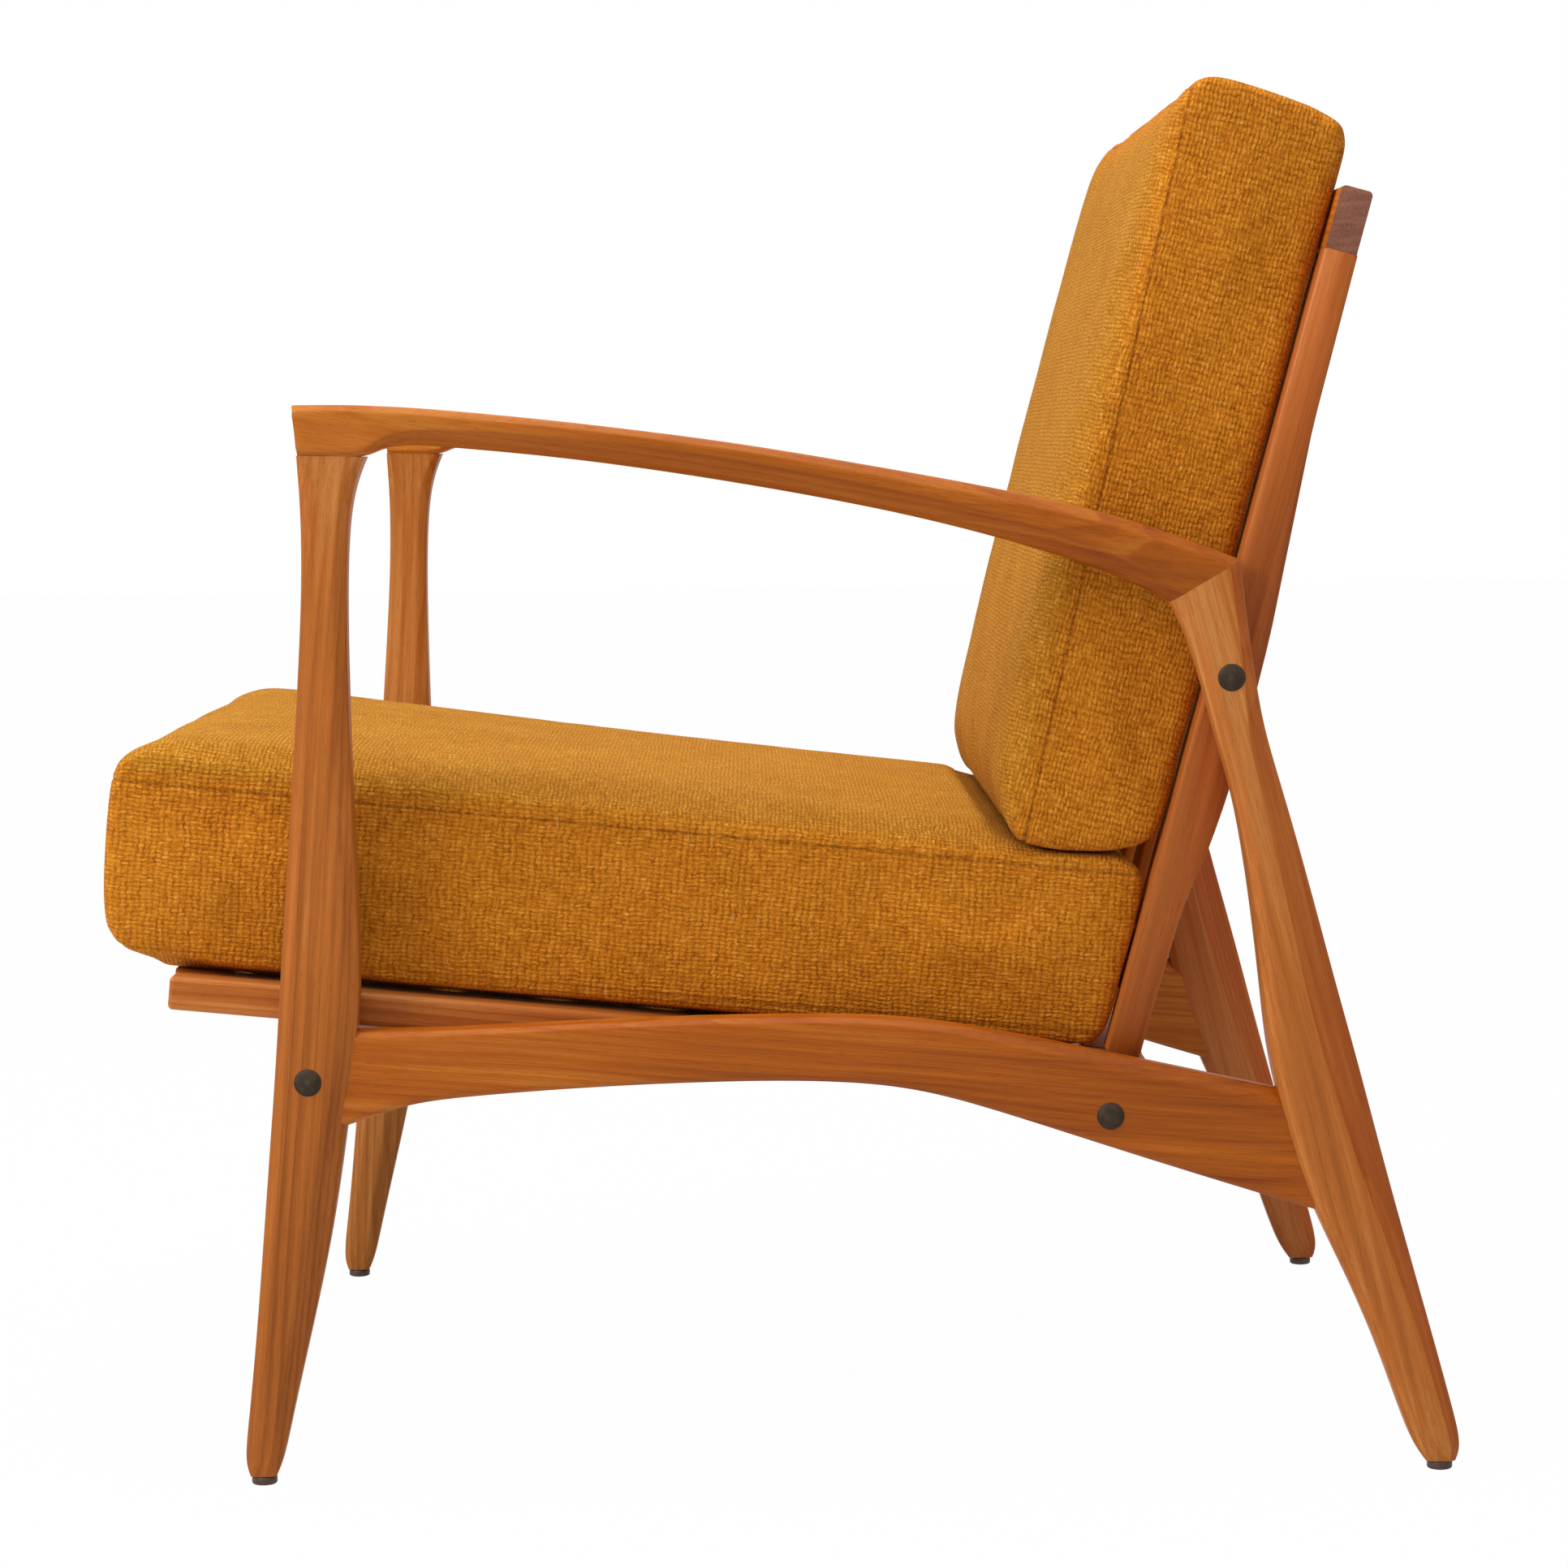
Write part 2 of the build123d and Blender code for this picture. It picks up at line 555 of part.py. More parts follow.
seat_core = seat_block(COVER_THICK)
seat_cover = seat_block(0) - seat_core
back_core = back_block(COVER_THICK)
back_cover = back_block(0) - back_core

# ---- the nodes ----
NODES = {
    "left_front_leg": front_leg,
    "left_rear_leg": rear_leg,
    "left_armrest": armrest,
    "left_side_rail": side_rail,
    "left_side_dowels": left_dowels,
    "seat_front_rail": front_rail,
    "seat_rear_rail": rear_rail,
    "front_bearer": front_bearer,
    "rear_bearer": rear_bearer,
    "left_seat_rail": seat_rail,
    "left_batten": batten,
    "seat_straps": straps(),
    "seat_dowels": seat_pins,
    "left_stile": back_stile,
    "crest_rail": crest_rail,
    "lower_back_rail": lower_rail,
    "back_dowels": back_pins,
    "bearer_bolts": both_sides([front_bolt, rail_bolt]),
    "back_bolts": both_sides([back_bolt]),
    "barrel_nuts": both_sides([front_nut, rail_nut]),
    "stile_inserts": both_sides([stile_insert]),
    "bolt_caps": both_sides([front_cap, rail_cap, back_cap]),
    "foot_glides": both_sides(left_glides),
    "seat_cushion_cover": seat_cover,
    "seat_cushion_core": seat_core,
    "back_cushion_cover": back_cover,
    "back_cushion_core": back_core,
}
for number, one in enumerate(slats, start=1):
    NODES[f"back_slat_{number}"] = one
for name in [name for name in NODES if name.startswith("left_")]:
    shape = NODES[name]
    twin = [mirrored(one) for one in shape] if isinstance(shape, list) else mirrored(shape)
    NODES[name.replace("left_", "right_")] = twin


def placed(shape):
    """A node's shape moved to the chair's origin. A list of solids becomes one group."""
    solids = shape if isinstance(shape, list) else [shape]
    moved = [Pos(0, FEET_MIDDLE_Y, 0) * solid for one in solids for solid in one.solids()]
    return Compound(children=moved) if len(moved) > 1 else moved[0]


os.makedirs("parts", exist_ok=True)
for name, shape in NODES.items():
    export_step(placed(shape), f"parts/{name}.step")
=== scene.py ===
"""A wooden armchair with two loose cushions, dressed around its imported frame.

The legs, arms and side rails are carved members, modelled ring by ring. The cushions are swollen
by a cloth simulation and then seamed. The straight parts keep the frame's own solids.
"""

from __future__ import annotations

import logging
import math
from dataclasses import dataclass, field, replace
from enum import Enum
from typing import Callable, Iterable

import bmesh
import bpy
from mathutils import Matrix, Vector

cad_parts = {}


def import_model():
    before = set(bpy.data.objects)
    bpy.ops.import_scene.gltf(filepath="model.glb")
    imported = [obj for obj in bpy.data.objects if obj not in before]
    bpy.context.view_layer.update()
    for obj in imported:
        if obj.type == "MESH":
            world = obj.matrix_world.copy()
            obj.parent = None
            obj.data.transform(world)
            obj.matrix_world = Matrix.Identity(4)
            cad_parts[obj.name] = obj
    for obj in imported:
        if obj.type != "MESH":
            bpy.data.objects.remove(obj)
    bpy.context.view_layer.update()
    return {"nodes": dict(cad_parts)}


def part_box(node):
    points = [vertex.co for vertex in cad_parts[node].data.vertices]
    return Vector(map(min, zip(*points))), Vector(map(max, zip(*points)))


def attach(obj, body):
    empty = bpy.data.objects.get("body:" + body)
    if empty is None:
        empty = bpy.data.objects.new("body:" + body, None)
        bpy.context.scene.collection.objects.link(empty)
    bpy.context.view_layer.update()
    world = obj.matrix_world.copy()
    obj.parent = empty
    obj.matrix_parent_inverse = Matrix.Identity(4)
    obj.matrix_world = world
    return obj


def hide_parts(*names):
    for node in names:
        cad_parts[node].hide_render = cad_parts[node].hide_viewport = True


MM = 0.001
FEET_BEHIND_ARM_MM = 316.0              # from the arms' front end back to the middle between the feet
REST_GAP = 0.4                          # play between a cushion and what it rests on, in millimetres
SEAT_SLOPE = 5.7                        # how steeply the seat falls to the rear, in degrees
BACK_LEAN = 74.6                        # how steeply the back rises from level, in degrees
LOG = logging.getLogger("armchair")

Point = tuple[float, float]
Triple = tuple[float, float, float]
Colour = tuple[float, float, float, float]


def linear(red: float, green: float, blue: float) -> Colour:
    """A display colour, 0 to 255 a channel, as the linear colour that shaders take."""
    channels = [
        part / 12.92 if part <= 0.04045 else ((part + 0.055) / 1.055) ** 2.4
        for part in (red / 255, green / 255, blue / 255)
    ]
    return (*channels, 1.0)


# ---- selecting and shaping in edit mode ----
def only(piece: bpy.types.Object) -> None:
    """Leave one object selected and active."""
    bpy.ops.object.select_all(action="DESELECT")
    piece.select_set(True)
    bpy.context.view_layer.objects.active = piece


def pick(piece: bpy.types.Object, wanted: Callable[[bmesh.types.BMVert], bool]) -> None:
    """Select a mesh's vertices by a test, in edit mode.

    Args:
        piece: the object in edit mode.
        wanted: says whether a vertex is to be selected.
    """
    shape = bmesh.from_edit_mesh(piece.data)
    for vertex in shape.verts:
        vertex.select = wanted(vertex)
    shape.select_mode = {"VERT"}
    shape.select_flush_mode()
    bmesh.update_edit_mesh(piece.data, loop_triangles=False)


def applied(piece: bpy.types.Object, name: str, kind: str, **settings: object) -> None:
    """Add one modifier to a piece and apply it.

    Args:
        piece: the object that gets it.
        name: the modifier's name.
        kind: the modifier's type.
        **settings: its settings.
    """
    only(piece)
    modifier = piece.modifiers.new(name, kind)
    for setting, value in settings.items():
        setattr(modifier, setting, value)
    bpy.ops.object.modifier_apply(modifier=modifier.name)


def lofted(name: str, rings: list[list[Vector]]) -> bpy.types.Object:
    """A closed form drawn through a row of rings, extruded from the first to the last.

    Args:
        name: the new piece's name.
        rings: each ring's corners, the same number in each.

    Returns:
        The new object, at the origin, left in edit mode with its last ring selected.
    """
    bpy.ops.object.select_all(action="DESELECT")
    middle = sum(rings[0], Vector()) / len(rings[0])
    bpy.ops.mesh.primitive_circle_add(
        vertices=len(rings[0]), radius=10 * MM, fill_type="NGON", location=middle
    )
    piece = bpy.context.object
    piece.name = name
    bpy.ops.object.transform_apply(location=True, rotation=True, scale=True)
    places = [vertex.co.copy() for vertex in piece.data.vertices]
    bpy.ops.object.mode_set(mode="EDIT")
    bpy.context.tool_settings.mesh_select_mode = (True, False, False)
    for number, ring in enumerate(rings):
        if number:
            bpy.ops.mesh.extrude_region_move(TRANSFORM_OT_translate={"value": (0, 0, 0)})
        shape = bmesh.from_edit_mesh(piece.data)
        free = [vertex.index for vertex in shape.verts if vertex.select]
        shape.verts.ensure_lookup_table()
        order = []
        for place in places:
            nearest = min(free, key=lambda index: (shape.verts[index].co - place).length)
            free.remove(nearest)
            order.append(nearest)
        for index, old, new in zip(order, places, ring):
            pick(piece, lambda vertex: vertex.index == index)
            bpy.ops.transform.translate(value=new - old)
        chosen = set(order)
        pick(piece, lambda vertex: vertex.index in chosen)
        # Going by way of face mode leaves the ring's face as what is extruded next.
        bpy.context.tool_settings.mesh_select_mode = (False, False, True)
        bpy.context.tool_settings.mesh_select_mode = (True, False, False)
        places = [corner.copy() for corner in ring]
    return piece


def outwards(piece: bpy.types.Object) -> None:
    """Turn a closed mesh's faces outwards."""
    only(piece)
    bpy.ops.object.mode_set(mode="EDIT")
    bpy.ops.mesh.select_all(action="SELECT")
    bpy.ops.mesh.normals_make_consistent(inside=False)
    bpy.ops.object.mode_set(mode="OBJECT")


def twin(piece: bpy.types.Object, name: str) -> bpy.types.Object:
    """The same piece for the chair's other side, with its own mesh.

    Args:
        piece: the left piece.
        name: the right piece's name.

    Returns:
        The mirrored copy.
    """
    only(piece)
    bpy.ops.object.duplicate()
    other = bpy.context.object
    other.name = name
    bpy.ops.transform.resize(value=(-1, 1, 1), center_override=(0, 0, 0))
    bpy.ops.object.transform_apply(location=True, rotation=True, scale=True)
    outwards(other)
    return other


# ---- shaders ----
class Value:
    """A shader socket that sums, products and powers can be written with."""

    def __init__(self, shader: Shader, socket: bpy.types.NodeSocket) -> None:
        """Keep the socket and the shader that it belongs to."""
        self.shader = shader
        self.socket = socket

    def __add__(self, other: Value | float) -> Value:
        """The sum."""
        return self.shader.maths("ADD", self, other)

    def __radd__(self, other: float) -> Value:
        """The sum, with the number first."""
        return self.shader.maths("ADD", other, self)

    def __sub__(self, other: Value | float) -> Value:
        """The difference."""
        return self.shader.maths("SUBTRACT", self, other)

    def __rsub__(self, other: float) -> Value:
        """The difference, with the number first."""
        return self.shader.maths("SUBTRACT", other, self)

    def __mul__(self, other: Value | float) -> Value:
        """The product."""
        return self.shader.maths("MULTIPLY", self, other)

    def __rmul__(self, other: float) -> Value:
        """The product, with the number first."""
        return self.shader.maths("MULTIPLY", other, self)

    def __truediv__(self, other: Value | float) -> Value:
        """The quotient."""
        return self.shader.maths("DIVIDE", self, other)

    def __pow__(self, other: Value | float) -> Value:
        """The power."""
        return self.shader.maths("POWER", self, other)

    def step(self, low: float, high: float) -> Value:
        """A smooth rise from 0 to 1 as this value goes from low to high."""
        return self.shader.node(
            "ShaderNodeMapRange",
            {"interpolation_type": "SMOOTHSTEP"},
            {0: self, 1: low, 2: high, 3: 0.0, 4: 1.0},
        )


class Shader:
    """The nodes of one material, or of the world."""

    def __init__(self, owner: bpy.types.Material | bpy.types.World) -> None:
        """Start a material or the world afresh, with no nodes."""
        self.owner = owner
        owner.use_nodes = True
        self.tree = owner.node_tree
        self.tree.nodes.clear()

    def node(
        self, kind: str, settings: dict | None = None, sockets: dict | None = None, out: int | str = 0
    ) -> Value:
        """Add a node.

        Args:
            kind: the node's type.
            settings: its own settings, set first. "stops" are a ramp's places and colours.
            sockets: values or links for its input sockets, by name or number.
            out: the number or name of the output that is wanted.

        Returns:
            The output.
        """
        made = self.tree.nodes.new(kind)
        for setting, value in (settings or {}).items():
            if setting == "stops":
                elements = made.color_ramp.elements
                while len(elements) < len(value):
                    elements.new(0.5)
                for element, (place, colour) in zip(elements, value):
                    element.position = place
                    element.color = colour
            else:
                setattr(made, setting, value)
        for key, value in (sockets or {}).items():
            if isinstance(value, Value):
                self.tree.links.new(value.socket, made.inputs[key])
            else:
                made.inputs[key].default_value = value
        return Value(self, made.outputs[out])

    def maths(self, operation: str, *values: Value | float) -> Value:
        """One Math node."""
        return self.node("ShaderNodeMath", {"operation": operation}, dict(enumerate(values)))

    def vector(self, operation: str, *values: Value | Triple) -> Value:
        """One Vector Math node."""
        return self.node("ShaderNodeVectorMath", {"operation": operation}, dict(enumerate(values)))

    def mixed(self, factor: Value | float, first: Value | Colour, second: Value | Colour) -> Value:
        """Two colours mixed by a factor."""
        return self.node("ShaderNodeMix", {"data_type": "RGBA"}, {0: factor, 6: first, 7: second}, 2)

    def ramp(self, tone: Value, tones: dict[float, Colour]) -> Value:
        """A colour between the given ones, by a tone from 0 to 1."""
        return self.node("ShaderNodeValToRGB", {"stops": list(tones.items())}, {0: tone})

    def highest(self, *values: Value) -> Value:
        """The highest of some values."""
        top, *others = values
        for other in others:
            top = self.maths("MAXIMUM", top, other)
        return top

    def noise(self, place: Value, stretch: Triple, detail: float = 2.0, rough: float = 0.5) -> Value:
        """Soft noise from 0 to 1.

        Args:
            place: the coordinates.
            stretch: how often it changes along each axis, in waves a metre.
            detail: how many finer layers it has.
            rough: how strong the finer layers are.

        Returns:
            The noise's height.
        """
        scaled = self.vector("MULTIPLY", place, stretch)
        sockets = {"Vector": scaled, "Scale": 1.0, "Detail": detail, "Roughness": rough}
        return self.node("ShaderNodeTexNoise", None, sockets)

    def parts(self, vector: Value) -> tuple[Value, Value, Value]:
        """A vector's three numbers."""
        first = self.node("ShaderNodeSeparateXYZ", None, {0: vector})
        return tuple(Value(self, socket) for socket in first.socket.node.outputs)

    def joined(self, x: Value | float, y: Value | float, z: Value | float) -> Value:
        """Three numbers as a vector."""
        return self.node("ShaderNodeCombineXYZ", None, {0: x, 1: y, 2: z})

    def placed(self, turn: Triple = (0.0, 0.0, 0.0), move: Triple = (0.0, 0.0, 0.0)) -> Value:
        """The piece's own coordinates, turned by angles in degrees and then moved."""
        own = self.node("ShaderNodeTexCoord", None, None, "Object")
        return self.node(
            "ShaderNodeMapping",
            {"vector_type": "POINT"},
            {"Vector": own, "Rotation": [math.radians(angle) for angle in turn], "Location": move},
        )

    def surface(
        self,
        colour: Value | Colour,
        rough: Value | float,
        height: Value | None = None,
        depth: float = 0.0,
        **constants: object,
    ) -> bpy.types.Material:
        """Finish the material with one Principled surface.

        Args:
            colour: its base colour.
            rough: its roughness.
            height: what its bumps follow.
            depth: how deep they are, in metres.
            **constants: the surface's other sockets, with _ for a space.

        Returns:
            The material.
        """
        sockets = {"Base Color": colour, "Roughness": rough}
        if height is not None:
            bump = {"Strength": 1.0, "Distance": depth, "Height": height}
            sockets["Normal"] = self.node("ShaderNodeBump", None, bump)
        for name, value in constants.items():
            sockets[name.replace("_", " ")] = value
        return self.ended(self.node("ShaderNodeBsdfPrincipled", None, sockets))

    def ended(self, surface: Value) -> bpy.types.Material | bpy.types.World:
        """Link a surface to the output of what it belongs to, and return that."""
        kind = "World" if isinstance(self.owner, bpy.types.World) else "Material"
        output = self.tree.nodes.new("ShaderNodeOutput" + kind)
        self.tree.links.new(surface.socket, output.inputs["Surface"])
        return self.owner


@dataclass(frozen=True)
class Finish:
    """What every finish has: its material's name."""

    name: str

    def shader(self) -> Shader:
        """A new material's nodes."""
        return Shader(bpy.data.materials.new(self.name))


@dataclass(frozen=True)
class Wood(Finish):
    """Oiled wood cut from one board, with its grain along the board.

    The board's coordinates have Y along the grain, X and Z across it, in metres. Amounts are in
    parts of the way from its darkest tone to its palest.
    """

    turn: Triple                            # brings the board's length to Y
    seed: float
    pith: Point = (0.02, 0.11)              # where the tree's heart lies across the board
    ring_gap: float = 4.6 * MM
    wander: float = 6 * MM                  # how far the growth rings stray
    ring_depth: float = 0.18                # how dark they are
    streaks: float = 0.72
    bands: float = 0.62
    fibres: float = 0.50
    patches: float = 0.95
    red: float = 0.5                        # how much of it is reddish
    fade: Point = (-9.0, 9.0)               # the board darkens between these places along it
    fade_depth: float = 0.30
    dark_tone: Colour = linear(134, 66, 14)
    mid_tone: Colour = linear(178, 98, 34)
    pale_tone: Colour = linear(214, 144, 78)
    red_tone: Colour = linear(162, 76, 22)
    olive_tone: Colour = linear(164, 102, 32)

    def material(self) -> bpy.types.Material:
        """Make the board's finish."""
        shader = self.shader()
        board = shader.placed(self.turn, (self.seed * 0.37, self.seed * 0.71, self.seed * 0.53))
        x, y, z = shader.parts(shader.placed(self.turn))
        drift = shader.noise(board, (7.0, 2.2, 7.0), 2.0) - 0.5
        across = x + self.pith[0] + drift * self.wander
        away = z + self.pith[1] + (shader.noise(board, (5.0, 3.0, 5.0), 1.0) - 0.5) * (2 * self.wander)
        radius = shader.maths("SQRT", across * across + away * away)
        uneven = shader.noise(board, (34.0, 1.4, 34.0), 2.0) * 3.4
        ring = shader.maths("FRACT", radius / self.ring_gap + uneven)
        line = ring.step(0.30, 0.90) * (1 - ring.step(0.90, 1.0))
        strength = shader.noise(board, (26.0, 3.0, 26.0), 1.0)
        streaks = shader.noise(board, (190.0, 4.2, 190.0), 3.0, 0.62)
        bands = shader.noise(shader.vector("ADD", board, (2.3, 1.1, 4.9)), (62.0, 2.4, 62.0), 2.0, 0.5)
        fibres = shader.noise(board, (1100.0, 16.0, 1100.0), 2.0, 0.6)
        pores = shader.noise(board, (2600.0, 110.0, 2600.0), 1.0).step(0.60, 0.72)
        patches = shader.noise(board, (11.0, 2.6, 11.0), 2.0)
        tone = (
            0.5
            + (streaks - 0.5) * self.streaks
            + (bands - 0.5) * self.bands
            + (fibres - 0.5) * self.fibres
            + (patches - 0.5) * self.patches
            - line * strength * (2 * self.ring_depth)
            + self.ring_depth * 0.32
            + (0.5 - y.step(*self.fade)) * self.fade_depth
        )
        colour = shader.ramp(tone, {0.0: self.dark_tone, 0.5: self.mid_tone, 1.0: self.pale_tone})
        share = 0.3 * self.red
        reddish = shader.noise(board, (16.0, 2.4, 16.0), 2.0).step(0.66 - share, 0.95 - share)
        beside = shader.vector("ADD", board, (3.1, 5.7, 1.9))
        olive = shader.noise(beside, (18.0, 2.6, 18.0), 2.0).step(0.50, 0.70)
        colour = shader.mixed(reddish * 0.60, colour, self.red_tone)
        colour = shader.mixed(olive * 0.22, colour, self.olive_tone)
        colour = shader.mixed(pores * 0.34, colour, self.dark_tone)
        rough = 0.46 + (fibres - 0.5) * 0.2 + pores * 0.1
        height = fibres * 0.5 + (1 - pores) * 0.5 + streaks * 0.3
        return shader.surface(colour, rough, height, 0.10 * MM, Specular_IOR_Level=0.18)


@dataclass(frozen=True)
class EndGrain(Finish):
    """The cut end of a board, darker and speckled."""

    dark_tone: Colour = linear(94, 50, 32)
    mid_tone: Colour = linear(132, 78, 54)
    pale_tone: Colour = linear(152, 102, 78)

    def material(self) -> bpy.types.Material:
        """Make the end's finish."""
        shader = self.shader()
        board = shader.placed(move=(0.31, 0.17, 0.23))
        specks = shader.noise(board, (900.0, 900.0, 900.0), 2.0, 0.7)
        bands = shader.noise(board, (40.0, 60.0, 420.0), 2.0)
        tone = 0.5 + (specks - 0.5) * 1.3 + (bands - 0.5) * 0.9
        colour = shader.ramp(tone, {0.0: self.dark_tone, 0.5: self.mid_tone, 1.0: self.pale_tone})
        return shader.surface(colour, 0.55 + (specks - 0.5) * 0.2, specks, 0.1 * MM)


@dataclass(frozen=True)
class Weave(Finish):
    """Coarse basket-woven upholstery cloth.

    It reads the piece's own map, in metres, its "stitches" attribute, which is 1 in a seam, and
    its "crown" attribute, which is 1 on the crowned panel, which carries painted top light: paler,
    yellower tones.
    """

    warp_gap: float = 3.9 * MM
    weft_gap: float = 2.6 * MM
    tone_places: tuple[float, ...] = (0.0, 0.33, 0.66, 1.0)
    side_tones: tuple[Colour, ...] = (
        linear(142, 76, 10), linear(191, 113, 20), linear(221, 143, 40), linear(242, 182, 90)
    )
    # Painted light: a paler, yellower copy of the side tones for the crowned panel, as lit from above.
    top_light_tones: tuple[Colour, ...] = (
        linear(142, 83, 10), linear(179, 115, 23), linear(206, 149, 50), linear(232, 188, 104)
    )
    dark_yarn: Colour = linear(154, 86, 12)
    seam_tone: Colour = linear(116, 62, 8)

    def yarn(self, shader: Shader, along: Value, across: Value, seed: float) -> tuple[Value, Value]:
        """One set of yarns.

        Args:
            shader: the material being made.
            along: the way the yarns run, counted in crossings.
            across: the way they are counted.
            seed: sets this set's unevenness apart.

        Returns:
            The yarns' height from 0 to 1, and the part of them that lies on top.
        """
        number = shader.maths("FLOOR", across)
        inside = shader.maths("FRACT", across)
        round_top = shader.maths("SINE", inside * math.pi) ** 0.5
        wave = shader.maths("SINE", (along + number) * math.pi + seed)
        over = 0.5 + wave * 0.5
        return round_top * (0.3 + 0.7 * over), over

    def material(self) -> bpy.types.Material:
        """Make the cloth's finish."""
        shader = self.shader()
        flat = shader.node("ShaderNodeUVMap", {"uv_map": "cloth"})
        sway = shader.noise(flat, (26.0, 60.0, 1.0), 2.0)
        sway_other = shader.noise(shader.vector("ADD", flat, (4.3, 2.9, 0.0)), (60.0, 26.0, 1.0), 3.0)
        u, v, _ = shader.parts(flat)
        jitter = shader.noise(shader.vector("ADD", flat, (1.7, 8.1, 0.0)), (210.0, 330.0, 1.0), 1.0)
        u = u + (sway - 0.5) * (5.0 * MM) + (jitter - 0.5) * (2.0 * MM)
        v = v + (sway_other - 0.5) * (4.6 * MM) + (jitter - 0.5) * (1.6 * MM)
        warp_count, weft_count = u / self.warp_gap, v / self.weft_gap
        warp, warp_over = self.yarn(shader, weft_count, warp_count, 0.0)
        weft, _ = self.yarn(shader, warp_count, weft_count, math.pi)
        height = shader.highest(warp * 0.88, weft)
        thick_warp = shader.noise(shader.joined(warp_count, v, 0.0), (1.7, 110.0, 1.0), 1.0)
        thick_weft = shader.noise(shader.joined(u, weft_count, 5.0), (110.0, 1.7, 1.0), 1.0)
        uneven = thick_warp * warp_over + thick_weft * (1 - warp_over)
        grain = shader.noise(flat, (800.0, 1100.0, 1.0), 2.0, 0.7)
        clouds = shader.noise(flat, (16.0, 16.0, 1.0), 3.0, 0.6)
        loose = shader.noise(flat, (120.0, 160.0, 1.0), 2.0, 0.6)
        # Painted shade: the tone rises with the yarns' height, so the gaps between them are darker.
        tone = (
            0.04
            + height * (0.20 + loose * 0.60)
            + (uneven - 0.5) * 1.05
            + (grain - 0.5) * 0.90
            + (clouds - 0.5) * 0.34
        )
        side = shader.ramp(tone, dict(zip(self.tone_places, self.side_tones)))
        # Painted light: the crowned panel gets the paler, yellower top tones, as lit from above.
        top = shader.ramp(tone, dict(zip(self.tone_places, self.top_light_tones)))
        crown = shader.node("ShaderNodeAttribute", {"attribute_name": "crown"}, None, "Fac")
        colour = shader.mixed(crown, side, top)
        slubs = shader.noise(shader.joined(warp_count, v, 9.0), (1.9, 60.0, 1.0), 2.0).step(0.66, 0.76)
        dark = shader.noise(shader.joined(u, weft_count, 3.0), (60.0, 1.9, 1.0), 2.0).step(0.62, 0.74)
        colour = shader.mixed(slubs * 0.36, colour, self.top_light_tones[-1])
        colour = shader.mixed(dark * 0.34, colour, self.dark_yarn)
        stitches = shader.node("ShaderNodeAttribute", {"attribute_name": "stitches"}, None, "Fac")
        thread = shader.noise(flat, (330.0, 330.0, 1.0), 1.0).step(0.38, 0.60)
        colour = shader.mixed(stitches * (0.20 + thread * 0.60), colour, self.seam_tone)
        relief = height * (0.4 + loose * 1.0) + (uneven - 0.5) * 0.8 + (grain - 0.5) * 0.5
        return shader.surface(
            colour,
            0.88,
            relief,
            0.9 * MM,
            Specular_IOR_Level=0.12,
            Sheen_Weight=0.06,
            Sheen_Roughness=0.5,
            Sheen_Tint=linear(236, 186, 96),
        )


@dataclass(frozen=True)
class Plain(Finish):
    """A plain material with a fine uneven surface."""

    tone: Colour
    other_tone: Colour
    rough: float
    metal: float = 0.0
    stretch: Triple = (220.0, 220.0, 220.0)
    depth: float = 0.05 * MM
    shine: float = 0.5

    def material(self) -> bpy.types.Material:
        """Make the finish."""
        shader = self.shader()
        uneven = shader.noise(shader.placed(), self.stretch, 3.0, 0.6)
        colour = shader.mixed(uneven.step(0.35, 0.65), self.tone, self.other_tone)
        rough = self.rough + (uneven - 0.5) * 0.25
        return shader.surface(
            colour, rough, uneven, self.depth, Metallic=self.metal, Specular_IOR_Level=self.shine
        )


# ---- carved members ----
@dataclass(frozen=True)
class Ring:
    """One eight-cornered section of a carved member, square to the chair's side.

    Places are Y and Z in millimetres, with Y from the middle between the front and rear feet.
    """

    outer: Point
    inner: Point
    thick: float
    outer_cut: float
    inner_cut: float


